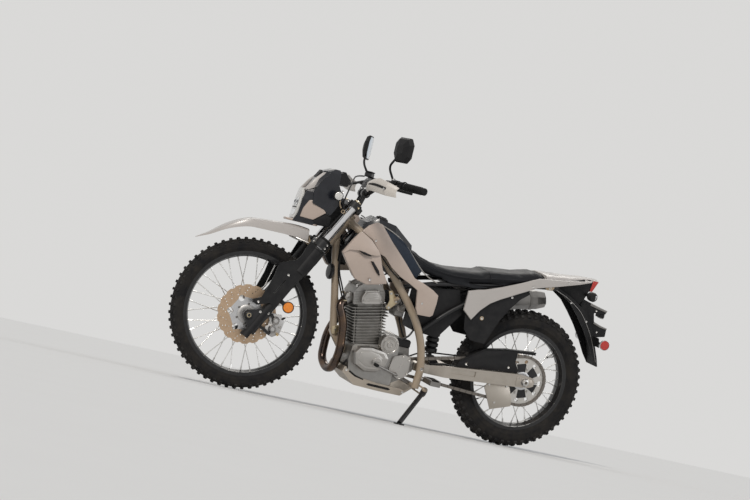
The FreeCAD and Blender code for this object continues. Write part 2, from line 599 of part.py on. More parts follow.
# Engine
def engine_nodes():
    """Crankcase, covers, finned cylinder and head."""
    nodes = {}
    case = slab([(-862, 250), (-858, 322), (-700, 350), (-650, 400), (-585, 380), (-566, 300), (-570, 215),
                 (-640, 172), (-810, 168), (-850, 200)], -84, 84, 18)
    _, front_sprocket, _ = chain_pins()
    room = Part.makeBox(300, 60, 400, Vector(front_sprocket.x - 52, CHAIN_Y - 48, 100))
    case = case.cut(room)
    shaft = disc_y(12, front_sprocket.x, front_sprocket.z, CHAIN_Y - 7, CHAIN_Y + 14)
    teeth = disc_y(37, front_sprocket.x, front_sprocket.z, CHAIN_Y - 2.6, CHAIN_Y + 2.6)
    nodes["crankcase"] = fused([case, shaft, teeth])
    shield = [(-858, 292), (-838, 320), (-783, 332), (-706, 322), (-684, 296), (-696, 246), (-730, 222), (-790, 214),
              (-842, 238)]
    nodes["generator_cover"] = fused([slab(shield, -84, -112, 16), panel(shield, -1, 112, 126, 18),
                                      disc_y(22, -741, 270, -122, -131)])
    nodes["idler_cover"] = fused([disc_y(43, -701, 358, -84, -124), disc_y(30, -701, 358, -124, -127)])
    nodes["clutch_cover"] = fused([disc_y(86, -735, 268, 84, 112), disc_y(56, -735, 268, 112, 122)])
    nodes["sprocket_cover"] = slab([(-664, 240), (-656, 306), (-606, 326), (-572, 316), (-566, 236), (-606, 208)],
                                   -84, -94, 12)
    fins = [Part.makeBox(112, 112, 212, Vector(-56, -56, 0))]
    for i in range(13):
        half = 88 if i > 8 else 80
        fins.append(Part.makeBox(2 * half, 2 * (half - 12), 3.2, Vector(-half, -half + 12, 34 + i * 13.5)))
    nodes["cylinder"] = on_cylinder(fused(fins)).cut(nodes["crankcase"])
    deck_z = 212.5 + SEAT_GAP
    head = slab([(-80, deck_z), (-80, 262), (-58, 292), (-30, 305), (28, 305), (58, 290), (70, 262), (70, deck_z)],
                -64, 64, 6)
    port = bar((-60, -20, 244), (-108, -26, 222), 25)
    nodes["cylinder_head"] = on_cylinder(fused([head, port]))
    cap = slab([(-48, 222), (-46, 246), (-28, 276), (26, 276), (46, 246), (44, 216), (-26, 216)], -64, -84, 8)
    nodes["cam_cover"] = moved(on_cylinder(cap), 0, -SEAT_GAP, 0)
    intake = tube([(-742, 0, 560), (-680, 0, 545), (-600, 0, 530)], 27)
    nodes["intake"] = intake.cut(nodes["cylinder_head"])
    box = slab([(-600, 440), (-600, 640), (-420, 668), (-380, 560), (-470, 430)], -80, 46, 14)
    nodes["airbox"] = box.cut(Part.makeBox(92, 88, 400, Vector(-516, -44, 340)))
    return nodes


def exhaust_nodes():
    """Header round the engine's front and right side, and the muffler."""
    header = tube([(-929.5, -26, 498), (-956, -44, 478), (-916, -50, 400), (-898, -46, 270), (-900, -20, 190),
                   (-902, 60, 172), (-912, 118, 210), (-912, 128, 330), (-870, 130, 430), (-760, 114, 476),
                   (-680, 82, 500), (-600, 74, 530), (-520, 112, 556), (-436, 162, 560)], 19)
    muffler = loft([octagon((-436, 164, 560), 26), octagon((-390, 168, 570), 44), octagon((70, 166, 682), 46),
                    octagon((112, 164, 692), 38)])
    return {"header": header, "muffler": muffler.cut(header)}


def octagon(centre, radius):
    """Eight-sided section across the muffler's run."""
    x, y, z = centre
    slope = math.radians(16.0)
    points = []
    for i in range(8):
        angle = math.pi * (i + 0.5) / 4
        up = radius * math.sin(angle)
        points.append((x - up * math.sin(slope), y + radius * math.cos(angle), z + up * math.cos(slope)))
    return points


# Bodywork
def panel(points, sign, inner, outer, inset):
    """Moulded side panel: its outline at the inner plane, drawn in towards the outer plane."""
    centre_x = sum(p[0] for p in points) / len(points)
    centre_z = sum(p[1] for p in points) / len(points)

    def at(y, amount):
        row = []
        for x, z in points:
            reach = math.hypot(x - centre_x, z - centre_z)
            keep = 1 - amount / reach
            row.append((centre_x + (x - centre_x) * keep, sign * y, centre_z + (z - centre_z) * keep))
        return row
    return loft([at(inner, 0), at(outer - 3, inset * 0.3), at(outer, inset)])


def body_nodes():
    """Tank, shrouds, seat, side and tail covers, rear mudguard."""
    nodes = {}
    rows = [(-985, 705, 760, 34, 26), (-930, 694, 866, 62, 42), (-880, 684, 894, 124, 58), (-800, 672, 882, 146, 72),
            (-700, 660, 812, 112, 66)]          # x, bottom z, top z, half width, top half width
    sections = []
    for x, low, high, wide, narrow in rows:
        waist = low + (high - low) * 0.45
        sections.append([(x, -wide * 0.6, low), (x, -wide, waist), (x, -narrow, high), (x, narrow, high),
                         (x, wide, waist), (x, wide * 0.6, low)])
    nodes["fuel_tank"] = loft(sections)
    upper = [(-1000, 838), (-962, 871), (-931, 885), (-905, 879), (-766, 758), (-674, 662), (-597, 637), (-580, 613),
             (-577, 552), (-607, 544), (-639, 576), (-646, 635), (-740, 685), (-817, 728), (-901, 779), (-960, 790)]
    lower = [(-1013, 840), (-1069, 723), (-970, 623), (-921, 606), (-836, 620), (-883, 716), (-905, 748)]
    for side, sign in SIDES:
        bosses = [disc_y(9, -880, 780, sign * 110, sign * 167), disc_y(9, -770, 742, sign * 110, sign * 167)]
        nodes["upper_shroud_" + side] = fused([slab(upper, sign * 166, sign * 178, 5)] + bosses)
        nodes["lower_shroud_" + side] = panel(lower, sign, 178 + SEAT_GAP, 208, 16)
        bosses = [disc_y(8, -120, 745, sign * 89.2, sign * 108), disc_y(8, -300, 662, sign * 97.3, sign * 108)]
        nodes["tail_cover_" + side] = fused([tail_cover(sign)] + bosses)
        skirt = [(-380, 590), (-392, 638), (-300, 648), (-228, 690), (-150, 722), (-103, 735), (-84, 724), (-128, 687),
                 (-165, 636), (-199, 577), (-225, 510), (-245, 454), (-318, 457), (-360, 500)]
        nodes["inner_guard_" + side] = fused([slab(skirt, sign * 102.3, sign * 105.5, 6),
                                              disc_y(7, -360, 624, sign * 99.7, sign * 103)])
    seat_rows = [(-905, 868, 896, 40), (-842, 850, 890, 60), (-768, 800, 842, 82), (-640, 720, 766, 92),
                 (-560, 700, 744, 98), (-480, 704, 742, 102), (-402, 712, 750, 106), (-330, 726, 760, 108),
                 (-296, 732, 776, 108), (-144, 762, 794, 104), (-60, 780, 816, 94), (-20, 786, 818, 88)]
    sections = []                      # x, bottom z, top z, half width
    for x, low, high, half in seat_rows:
        sections.append([(x, -half, low), (x, -half, high - 22), (x, -half * 0.88, high - 8), (x, -half * 0.6, high),
                         (x, half * 0.6, high), (x, half * 0.88, high - 8), (x, half, high - 22), (x, half, low)])
    skirts = [slab([(-540, 710), (-480, 716), (-402, 724), (-296, 746), (-144, 776), (-60, 795), (-60, 788), (-110, 772),
                    (-238, 716), (-364, 678), (-460, 672), (-530, 692)], sign * 97.5, sign * 101) for _, sign in SIDES]
    pad = loft(sections).cut(nodes["fuel_tank"])
    nodes["seat"] = largest(fused([largest(pad)] + skirts))
    core = slab([(-14, 800), (-14, 786), (16, 784.3), (60, 784.3), (118, 760.3), (169, 738.3), (192, 722), (216, 752),
                 (232, 800), (226, 846), (190, 842)], -44, 44, 0)
    shell = loft([[(-19.7, -90, 796), (-19.7, 90, 796), (-19.7, 74, 822), (-19.7, -74, 822)],
                  [(48, -76, 808), (48, 76, 808), (48, 62, 828), (48, -62, 828)],
                  [(190, -50, 834), (190, 50, 834), (190, 40, 846), (190, -40, 846)],
                  [(262, -30, 846), (262, 30, 846), (262, 24, 851), (262, -24, 851)]])
    nodes["tail_top"] = fused([shell, core])
    outer = [(16, 784), (60, 784), (118, 760), (169, 738), (221, 706), (264, 666), (293, 624), (324, 560), (352, 500),
             (366, 462)]
    under = [(360, 460), (346, 498), (319, 557), (288, 621), (260, 662), (218, 701), (166, 733), (116, 755), (59, 779),
             (16, 779)]
    brim = [(358, 464), (330, 497), (286, 563), (242, 621), (194, 674), (148, 720), (100, 748), (40, 774)]
    flanges = [slab(outer + brim, sign * 50, sign * 56) for _, sign in SIDES]
    nodes["rear_mudguard"] = fused([slab(outer + under, -56, 56)] + flanges)
    return nodes


def tail_cover(sign):
    """Side cover of the tail, tapering towards the tail's tip."""
    rows = [(-392, 118, 586, 675), (-345, 118, 549, 690), (-314, 118, 598, 697), (-275, 118, 639, 711),
            (-232, 118, 667, 727), (-143, 118, 715, 765), (-100, 118, 738, 786), (-60, 111, 757, 802),
            (-22, 104, 767, 808), (57, 89, 786, 816), (163, 69, 815, 830), (225, 58, 836, 842)]
    return loft([section_x(x, sign, y - 10, y, low, high) for x, y, low, high in rows])


def section_x(x, sign, inner, outer, low, high):
    """Four-cornered section across the bike at one x."""
    return [(x, sign * inner, low), (x, sign * outer, low), (x, sign * outer, high), (x, sign * inner, high)]


def swingarm_nodes():
    """Box-section swingarm that flares from its pivot to its legs, its shafts and its guides."""
    nodes = {}
    px, pz = SWING_PIVOT
    axle_x, axle_z = REAR_AXLE
    rows = [(px - 24, 62, 86, pz - 17, pz + 17), (-470, 64, 90, 262, 304), (-400, ARM_INNER, ARM_OUTER, 264, 317),
            (axle_x - 35, ARM_INNER, ARM_OUTER, axle_z - 28, axle_z + 32),
            (axle_x + 28, ARM_INNER, ARM_OUTER, axle_z - 20, axle_z + 28),
            (axle_x + 48, ARM_INNER + 2, ARM_OUTER - 2, axle_z - 10, axle_z + 14)]  # x, inner y, outer y, bottom, top
    arms = [loft([section_x(x, sign, *row) for x, *row in rows]) for _, sign in SIDES]
    bridge = slab([(-400, 268), (-400, 316), (-352, 316), (-352, 272)], -ARM_INNER - 2, ARM_INNER + 2, 8)
    pivot = disc_y(21, px, pz, -64, 64)
    window = slab([(-371, 313), (-249, 321), (-249, 297), (-371, 290)], -ARM_OUTER - 4, -ARM_OUTER + 5, 2)
    swing = fused(arms + [bridge, pivot])
    swing = swing.cut([window, disc_y(AXLE_RADIUS + SEAT_GAP / 2, axle_x, axle_z, -200, 200),
                       disc_y(10, px, pz, -200, 200)])
    nodes["swingarm"] = largest(swing)
    nodes["swing_pivot"] = disc_y(10 - SEAT_GAP / 2, px, pz, -112, 112)
    axle = disc_y(AXLE_RADIUS, axle_x, axle_z, -124, 124)
    nodes["rear_axle"] = axle.cut(disc_y(AXLE_BORE, axle_x, axle_z, -130, 130))
    guard = [(-344, 1), (-330, 34), (-231, 105), (-120, 128), (27, 142), (30, 130), (-60, 122), (-60, 78), (-36, 44),
             (-36, 32.2)]                                   # from the rear axle
    guide = [(-179, -64), (-125, -158), (-26, -124), (-31, -91), (-60, -30.4), (-170, -39.4)]
    nodes["chain_guard"] = moved(slab(guard, -90, -86, 3), axle_x, 0, axle_z)
    nodes["chain_guide"] = moved(slab(guide, -88, -85, 4), axle_x, 0, axle_z)
    caliper = brake_caliper(1, axle_x - 98, axle_z + 20, REAR_DISC_Y, 188, 18.0, 0.0)
    seat = disc_y(12, axle_x - 98, axle_z, REAR_DISC_Y + 17, ARM_INNER - SEAT_GAP)
    nodes["rear_caliper"] = fused([caliper, seat])
    low, high = Vector(-446, 0, 326), Vector(-470, 0, 673)
    link = slab([(-466, 342), (-430, 342), (-400.3, 314), (-400.3, 282), (-426, 288)], -13, 13, 4)
    body = bar((-459, 0, 500), (-467, 0, 620), 24)
    nodes["shock_absorber"] = fused([bar(low, high, 9), body, link, spring(low, high, 30.0, 18.0, 24.0, 170.0, 7)])
    return nodes


def spring(low, high, radius, groove, start, length, turns):
    """Coil spring as one grooved sleeve round the shaft from low to high."""
    pitch = length / turns
    profile = [(8.0, start), (8.0, start + length)]
    for i in range(turns, 0, -1):
        profile += [(radius, start + i * pitch - 3), (radius, start + (i - 1) * pitch + 9),
                    (radius - groove * 0.4, start + (i - 1) * pitch + 3)]
    wire = Part.makePolygon([Vector(r, 0, z) for r, z in profile + profile[:1]])
    sleeve = Part.Face(wire).revolve(Vector(0, 0, 0), Vector(0, 0, 1), 360)
    sleeve.Placement = FreeCAD.Placement(low, FreeCAD.Rotation(Vector(0, 0, 1), high - low))
    return sleeve


def chain_pins():
    """Pin centres of the closed chain, and the countershaft's x at which it closes on whole links."""
    big = CHAIN_PITCH / 2 / math.sin(math.pi / REAR_TEETH)
    small = CHAIN_PITCH / 2 / math.sin(math.pi / FRONT_TEETH)
    rear = Vector(REAR_AXLE[0], 0, REAR_AXLE[1])

    def lay(front):
        run = front - rear
        distance = run.Length
        lean = math.asin((big - small) / distance)
        straight = math.sqrt(distance ** 2 - (big - small) ** 2)
        return run, lean, straight, 2 * straight + big * (math.pi + 2 * lean) + small * (math.pi - 2 * lean)
    low, high = COUNTERSHAFT[0] - CHAIN_PITCH, COUNTERSHAFT[0] + CHAIN_PITCH
    links = 2 * round(lay(Vector(COUNTERSHAFT[0], 0, COUNTERSHAFT[1]))[3] / CHAIN_PITCH / 2)
    for _ in range(40):
        middle = (low + high) / 2
        if lay(Vector(middle, 0, COUNTERSHAFT[1]))[3] > links * CHAIN_PITCH:
            low = middle
        else:
            high = middle
    front = Vector(middle, 0, COUNTERSHAFT[1])
    run, lean, straight, total = lay(front)
    heading = math.atan2(run.z, run.x)
    points = []
    for i in range(links):
        s = i * total / links
        points.append(chain_point(s, rear, front, heading, lean, straight, big, small))
    return points, front, small


def chain_point(s, rear, front, heading, lean, straight, big, small):
    """Point along the pitch line, starting where the upper run leaves the rear sprocket."""
    upper = heading - math.pi / 2 + lean
    lower = heading + math.pi / 2 - lean
    along_small = small * (math.pi - 2 * lean)

    def around(centre, radius, angle):
        return (centre.x + radius * math.cos(angle), centre.z + radius * math.sin(angle))
    if s < straight:
        a, b = around(rear, big, upper), around(front, small, upper)
        t = s / straight
    elif s < straight + along_small:
        return around(front, small, upper + (s - straight) / small)
    elif s < 2 * straight + along_small:
        a, b = around(front, small, lower), around(rear, big, lower)
        t = (s - straight - along_small) / straight
    else:
        return around(rear, big, lower + (s - 2 * straight - along_small) / big)
    return (a[0] + (b[0] - a[0]) * t, a[1] + (b[1] - a[1]) * t)


def chain():
    """Closed roller chain: two inner side bands, rollers between them and outer plates outside."""
    pins, _, _ = chain_pins()
    count = len(pins)
    outer, inner = [], []
    for i in range(count):
        before, after = pins[i - 1], pins[(i + 1) % count]
        dx, dz = after[0] - before[0], after[1] - before[1]
        length = math.hypot(dx, dz)
        normal = (dz / length, -dx / length)
        outer.append((pins[i][0] + normal[0] * 6.0, pins[i][1] + normal[1] * 6.0))
        inner.append((pins[i][0] - normal[0] * 6.0, pins[i][1] - normal[1] * 6.0))
    half = CHAIN_WIDTH / 2
    solids = []
    for y_from, y_to in ((CHAIN_Y - half + 2, CHAIN_Y - 3.6), (CHAIN_Y + 3.6, CHAIN_Y + half - 2)):
        solids.append(slab(outer, y_from, y_to).cut(slab(inner, y_from - 1, y_to + 1)))
    for i in range(0, count, 2):
        a, b = pins[i], pins[(i + 1) % count]
        dx, dz = (b[0] - a[0]) / CHAIN_PITCH, (b[1] - a[1]) / CHAIN_PITCH
        corners = []
        for along, across in ((-6, -6.5), (CHAIN_PITCH + 6, -6.5), (CHAIN_PITCH + 6, 6.5), (-6, 6.5)):
            corners.append((a[0] + dx * along - dz * across, a[1] + dz * along + dx * across))
        solids.append(slab(corners, CHAIN_Y - half, CHAIN_Y - half + 2.2))
        solids.append(slab(corners, CHAIN_Y + half - 2.2, CHAIN_Y + half))
        away = math.hypot(a[0] - REAR_AXLE[0], a[1] - REAR_AXLE[1])
        if 150 < away < 520:
            across = [(a[0] + r, a[1] + q) for r, q in ((-5, 0), (0, -5), (5, 0), (0, 5))]
            solids.append(slab(across, CHAIN_Y - 4, CHAIN_Y + 4))
    return largest(fused(solids))


def plate_point(down, out):
    """Point of the number plate's carrier, down its slope and out along its normal."""
    slope = math.radians(PLATE_SLOPE)
    return (PLATE_TOP[0] + down * math.sin(slope) + out * math.cos(slope),
            PLATE_TOP[1] - down * math.cos(slope) + out * math.sin(slope))


def small_nodes():
    """Lamps, reflectors, plate bracket, pegs, pedals and skid plate."""
    nodes = {}
    nodes["tail_light"] = slab([(226, 838), (250, 846), (268, 846), (246, 794), (236, 792)], -44, 44, 4)
    nodes["plate_bracket"] = fused([
        slab([(214, 722), (222, 752), (262, 742), (357, 722), (350, 704), (292, 700), (304, 660), (340, 648), (376, 642),
              (378, 602), (330, 590), (304, 590), (286, 630), (256, 672)], -26, 26, 3),
        slab([plate_point(54, 0), plate_point(98, 0), plate_point(98, 3), plate_point(54, 3)], -112, 112),
        bar((317, -REFLECTOR_Y + SEAT_GAP, 575), (317, -100, 575), 5), bar((317, 100, 575), (317, REFLECTOR_Y - SEAT_GAP, 575), 5)])
    holes = []
    for _, sign in SIDES:
        (x0, z0), (x1, z1) = plate_point(PLATE_HOLE_AT, -20), plate_point(PLATE_HOLE_AT, 20)
        holes.append(bar((x0, sign * PLATE_HOLE_Y, z0), (x1, sign * PLATE_HOLE_Y, z1), PLATE_HOLE_RADIUS))
    nodes["plate_bracket"] = nodes["plate_bracket"].cut(holes)
    for side, sign in SIDES:
        lamp = disc_y(21, 200, 780, sign * 132, sign * 168)
        nodes["rear_signal_" + side] = fused([lamp, bar((222, sign * (40 + SEAT_GAP), 776), (203, sign * 134, 782), 8)])
        nodes["rear_reflector_" + side] = Part.makeCylinder(24, 8, Vector(332, sign * REFLECTOR_Y, 574), Vector(0, sign, 0))
        peg = slab([(-505, 228), (-505, 250), (-455, 250), (-455, 228)], sign * 132, sign * 226, 3)
        nodes["footpeg_" + side] = fused([peg, bar((-516, sign * 112, 238), (-482, sign * 136, 238), 10)])
    skid = slab([(-880, 192), (-872, 218), (-864, 216), (-864, 190), (-800, 152), (-690, 146), (-580, 146), (-534, 190),
                 (-526, 184), (-578, 138), (-692, 138), (-810, 142)], -92, 92)
    cheeks = [slab([(-876, 194), (-872, 216), (-800, 182), (-700, 172), (-590, 170), (-552, 164), (-578, 140),
                    (-691, 140), (-808, 144)], sign * 87, sign * 92) for _, sign in SIDES]
    bosses = [bar((-700, y, 143), (-700, y, 169.1), 9) for y in (-50, 50)]
    nodes["skid_plate"] = fused([skid] + cheeks + bosses)
    nodes["shift_lever"] = tube([(-628, -94.3, 234), (-634, -136, 230), (-745, -140, 258)], 5.5, 0.3)
    nodes["brake_pedal"] = tube([(-520, 112, 232), (-600, 150, 226), (-735, 148, 246)], 7, 0.3)
    nodes["amber_reflector_left"] = fused([disc_y(26, 0, 0, -103, -95), Part.makeBox(50, 4, 20, Vector(-50, -101, -10))])
    return nodes


def stand_axis():
    """Pivot axis of the side stand, square to its leg both deployed and folded."""
    deployed = (stand_foot_centre() - Vector(*STAND_PIVOT)).normalize()
    return Vector(*STAND_FOLDED).normalize().cross(deployed).normalize()


def stand_swing():
    """Angle from deployed to folded, degrees."""
    deployed = (stand_foot_centre() - Vector(*STAND_PIVOT)).normalize()
    return math.degrees(deployed.getAngle(Vector(*STAND_FOLDED)))


def stand_foot_centre():
    """End of the leg, on the foot's top face, at the leg's length from the pivot."""
    up = PARK.inverse().Rotation.multVec(Vector(0, 0, 1))
    base = PARK.Base.z
    pivot = Vector(*STAND_PIVOT)
    x = pivot.x
    for _ in range(6):
        z = (FOOT_THICKNESS - base - up.y * STAND_FOOT_Y - up.x * x) / up.z
        reach = STAND_LENGTH ** 2 - (STAND_FOOT_Y - pivot.y) ** 2 - (z - pivot.z) ** 2
        x = pivot.x - math.sqrt(reach)
    return Vector(x, STAND_FOOT_Y, z)


def side_stand():
    """Side stand, deployed: eye, leg and a foot whose sole lies flat on the ground."""
    pivot, foot, axis = Vector(*STAND_PIVOT), stand_foot_centre(), stand_axis()
    up = PARK.inverse().Rotation.multVec(Vector(0, 0, 1))
    leg = Part.makeCylinder(STAND_TUBE, (foot - pivot).Length, pivot, foot - pivot)
    sole = Part.makeCylinder(24, FOOT_THICKNESS, foot - up * FOOT_THICKNESS, up)
    eye = Part.makeCylinder(STAND_EYE_RADIUS, STAND_EYE, pivot - axis * (STAND_EYE / 2), axis)
    below = Part.makeCylinder(60, 60, foot - up * (FOOT_THICKNESS + 60), up)
    body = fused([leg, sole, eye]).cut([below, Part.makeCylinder(STAND_PIN + RUNNING_GAP, 200, pivot - axis * 100, axis)])
    return largest(body)


def stand_bracket():
    """Clevis on the frame that carries the side stand, with its pin."""
    pivot, axis = Vector(*STAND_PIVOT), stand_axis()
    solids = [Part.makeCylinder(STAND_PIN, STAND_EYE + 16, pivot - axis * (STAND_EYE / 2 + 8), axis)]
    for sign in (-1, 1):
        base = pivot + axis * (sign * (STAND_EYE / 2 + 1.0))
        ear = Part.makeCylinder(STAND_EYE_RADIUS - 2, 7, base, axis * sign)
        reach = Vector(-524, -94, 204) - pivot
        reach -= axis * axis.dot(reach)
        arm = Part.makeCylinder(4, reach.Length, base + axis * (sign * 5), reach)
        solids += [ear, arm]
    return largest(fused(solids))


# Parked pose
def lowest(centre, axle, radius, section):
    """Lowest point of a tyre with a round section, in a turned pose."""
    crown = radius - section
    return centre.z - crown * math.sqrt(1 - axle.z ** 2) - section


def steered(shape):
    """Turned to the right about the steering axis, as parked."""
    return turned(shape, STEER_FOOT, STEER_AXIS, -STEER_ANGLE)


def park_placement():
    """Lean, pitch and lift that set both tyres and the stand's foot on the ground."""
    steer = FreeCAD.Placement(Vector(0, 0, 0), FreeCAD.Rotation(STEER_AXIS, -STEER_ANGLE), STEER_FOOT)
    front = steer.multVec(Vector(FRONT_AXLE[0], 0, FRONT_AXLE[1]))
    front_axle = steer.Rotation.multVec(Vector(0, 1, 0))
    rear = Vector(REAR_AXLE[0], 0, REAR_AXLE[1])
    pitch = 0.0
    for _ in range(4):
        turn = FreeCAD.Rotation(Vector(1, 0, 0), LEAN_ANGLE).multiply(FreeCAD.Rotation(Vector(0, 1, 0), pitch))
        ahead = lowest(turn.multVec(front), turn.multVec(front_axle), FRONT_TYRE_RADIUS, FRONT_TYRE_SECTION)
        behind = lowest(turn.multVec(rear), turn.multVec(Vector(0, 1, 0)), REAR_TYRE_RADIUS, REAR_TYRE_SECTION)
        pitch += math.degrees((behind - ahead) / WHEELBASE)
    return FreeCAD.Placement(Vector(MIDDLE_X, MIDDLE_Y, -behind), turn)


PARK = park_placement()


def parked(shape):
    """Copy of a shape in the parked pose."""
    copy = shape.copy()
    copy.Placement = PARK.multiply(copy.Placement)
    return copy


BODIES = {}

# Pieces notched where they seat on another of their body
SEATED = (
    ("meter", "fork_upper"), ("skid_plate", "main_frame"), ("airbox", "subframe"),
    ("front_fender", "fork_upper"), ("rear_mudguard", "subframe"), ("upper_shrouds", "fuel_tank"),
    ("upper_shrouds", "main_frame"), ("front_lamps", "fork_sliders"), ("rear_lamps", "rear_mudguard"),
    ("shock_absorber", "subframe"), ("tail_top", "rear_mudguard"),
    ("foot_controls", "main_frame"), ("header", "cylinder_head"), ("header", "cylinder"), ("front_lamps", "headlight_cowl"),
    ("fuel_tank", "main_frame"), ("mirrors", "hand_controls"), ("meter", "headlight_cowl"), ("rear_lamps", "tail_top"),
)

GROUPS = {
    "fork_upper": ("fork_tubes", "lower_clamp", "upper_clamp", "steering_stem", "bar_riser_left", "bar_riser_right"),
    "front_fender": ("fender_shell", "fender_mount"),
    "fork_sliders": ("fork_slider_left", "fork_slider_right"),
    "fork_guards": ("fork_guard_left", "fork_guard_right"),
    "hand_controls": ("grip_left", "grip_right", "lever_left", "lever_right"),
    "handguards": ("handguard_left", "handguard_right"),
    "mirrors": ("mirror_left", "mirror_right"),
    "front_lamps": ("front_signal_left", "front_signal_right", "amber_reflector_left"),
    "meter": ("meter", "headlight_bracket", "cowl_strut_left", "cowl_strut_right"),
    "headlight_cowl": ("headlight_cowl", "cowl_side_left", "cowl_side_right"),
    "main_frame": ("frame_spars", "frame_cradle", "frame_foot", "stand_bracket"),
    "engine_covers": ("generator_cover", "idler_cover", "clutch_cover", "cam_cover", "sprocket_cover"),
    "airbox": ("airbox", "intake", "inner_guard_left", "inner_guard_right"),
    "upper_shrouds": ("upper_shroud_left", "upper_shroud_right"),
    "lower_shrouds": ("lower_shroud_left", "lower_shroud_right"),
    "tail_covers": ("tail_cover_left", "tail_cover_right"),
    "rear_mudguard": ("rear_mudguard", "plate_bracket"),
    "swingarm": ("swingarm", "swing_pivot"),
    "chain_guards": ("chain_guard", "chain_guide"),
    "rear_lamps": ("tail_light", "rear_signal_left", "rear_signal_right", "rear_reflector_left",
                   "rear_reflector_right"),
    "foot_controls": ("footpeg_left", "footpeg_right", "shift_lever", "brake_pedal"),
}


def grouped(pieces):
    """Pieces of one body that share a node, joined where they meet."""
    nodes = dict(pieces)
    for name, members in GROUPS.items():
        present = [member for member in members if member in pieces]
        if not present:
            continue
        shapes = [pieces[member] for member in present]
        for member in present:
            nodes.pop(member, None)
        nodes[name] = fused(shapes)
    for name, carrier in SEATED:
        if name in nodes:
            nodes[name] = nodes[name].cut(nodes[carrier])
    return nodes


def build():
    """All nodes in the parked pose, by name."""
    fork_local = fork_nodes()
    axle_z = front_axle_height()
    fork_local["front_caliper"] = brake_caliper(-1, 118 - FORK_OFFSET, axle_z + 40, FRONT_DISC_Y, -18, 20.0, 8.0)
    small = small_nodes()
    fork_local["amber_reflector_left"] = moved(small.pop("amber_reflector_left"), 118 - FORK_OFFSET, 0,
                                                 axle_z + 140)
    steering = {name: on_fork(shape) for name, shape in fork_local.items()}
    steering.update(headlight_nodes())
    steering.update(controls())
    wheel = front_wheel()
    fixed = {}
    for group in (frame_nodes(), engine_nodes(), exhaust_nodes(), body_nodes(), swingarm_nodes(), small):
        fixed.update(group)
    fixed["chain"] = chain()
    fixed["stand_bracket"] = stand_bracket()
    BODIES.update({"fork": list(grouped(steering)), "front_wheel": list(wheel), "frame": list(grouped(fixed)),
                   "rear_wheel": list(rear_wheel()), "stand": ["side_stand"]})
    nodes = {}
    for shapes in (grouped(steering), wheel):
        nodes.update({name: parked(steered(shape)) for name, shape in shapes.items()})
    for shapes in (grouped(fixed), rear_wheel(), {"side_stand": side_stand()}):
        nodes.update({name: parked(shape) for name, shape in shapes.items()})
    return nodes


def main():
    """Write one STEP file a node."""
    os.makedirs("parts", exist_ok=True)
    for name, shape in build().items():
        shape.exportStep("parts/" + name + ".step")


if __name__ == "__main__":
    main()
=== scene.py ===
"""Looks of the dual sport motorcycle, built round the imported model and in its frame, in metres."""
import logging
import math
from dataclasses import dataclass
from enum import Enum
from typing import Callable, Sequence

import bmesh
import bpy
from mathutils import Matrix, Vector


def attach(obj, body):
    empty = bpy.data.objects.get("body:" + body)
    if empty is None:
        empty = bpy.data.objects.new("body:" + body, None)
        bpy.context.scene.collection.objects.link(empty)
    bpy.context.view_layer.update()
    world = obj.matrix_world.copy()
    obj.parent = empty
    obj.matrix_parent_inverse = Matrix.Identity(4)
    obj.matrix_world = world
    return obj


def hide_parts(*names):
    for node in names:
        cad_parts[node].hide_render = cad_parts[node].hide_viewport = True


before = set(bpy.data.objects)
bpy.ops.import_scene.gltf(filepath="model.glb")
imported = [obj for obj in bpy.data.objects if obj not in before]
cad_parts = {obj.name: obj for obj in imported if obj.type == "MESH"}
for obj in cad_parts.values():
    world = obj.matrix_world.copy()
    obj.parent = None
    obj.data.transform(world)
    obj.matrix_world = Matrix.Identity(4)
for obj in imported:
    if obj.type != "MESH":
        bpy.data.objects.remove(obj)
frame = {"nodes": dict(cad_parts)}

log = logging.getLogger("motorcycle")

Point = tuple[float, float, float]
Flat = tuple[float, float]
Line = Sequence[Point]
Outline = Sequence[Flat]

# Parked pose of the upright bike frame (x rearward from the rear axle, y to the right, z up), in the row frame
LEAN = math.radians(7.5)
PITCH = math.radians(0.0332)
SHIFT = Vector((0.659, 0.141, 0.000445))
RAKE = math.radians(27.0)
STEER = math.radians(-10.0)
STEER_FOOT = Vector((-1.4462, 0.0, 0.0))
FRONT_AXLE = (-1364.99, 340.0)
REAR_AXLE = (0.0, 322.0)

MM = Matrix.Scale(0.001, 4)
PARK = Matrix.Translation(SHIFT) @ Matrix.Rotation(LEAN, 4, "X") @ Matrix.Rotation(PITCH, 4, "Y")
STEER_AXIS = Vector((math.sin(RAKE), 0.0, math.cos(RAKE)))
STEERED = Matrix.Translation(STEER_FOOT) @ Matrix.Rotation(STEER, 4, STEER_AXIS) @ Matrix.Translation(-STEER_FOOT)
BIKE = PARK @ MM                                        # millimetres of the upright bike
FORK = PARK @ STEERED @ MM                              # millimetres of the bike with its steering straight ahead
LEGS = PARK @ STEERED @ Matrix.Translation(STEER_FOOT) @ Matrix.Rotation(RAKE, 4, "Y") @ MM   # z along the steering
LEGS_IN_FORK = FORK.inverted() @ LEGS                   # places of the legs' frame in the fork's

LYING = Matrix(((0, 0, 1, 0), (1, 0, 0, 0), (0, 1, 0, 0), (0, 0, 0, 1)))   # an outline in y and x, its face up

SIDES = (("left", -1.0), ("right", 1.0))


class Body(Enum):
    """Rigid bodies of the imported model."""
    FRAME = "frame"
    FORK = "fork"
    FRONT_WHEEL = "front_wheel"
    REAR_WHEEL = "rear_wheel"


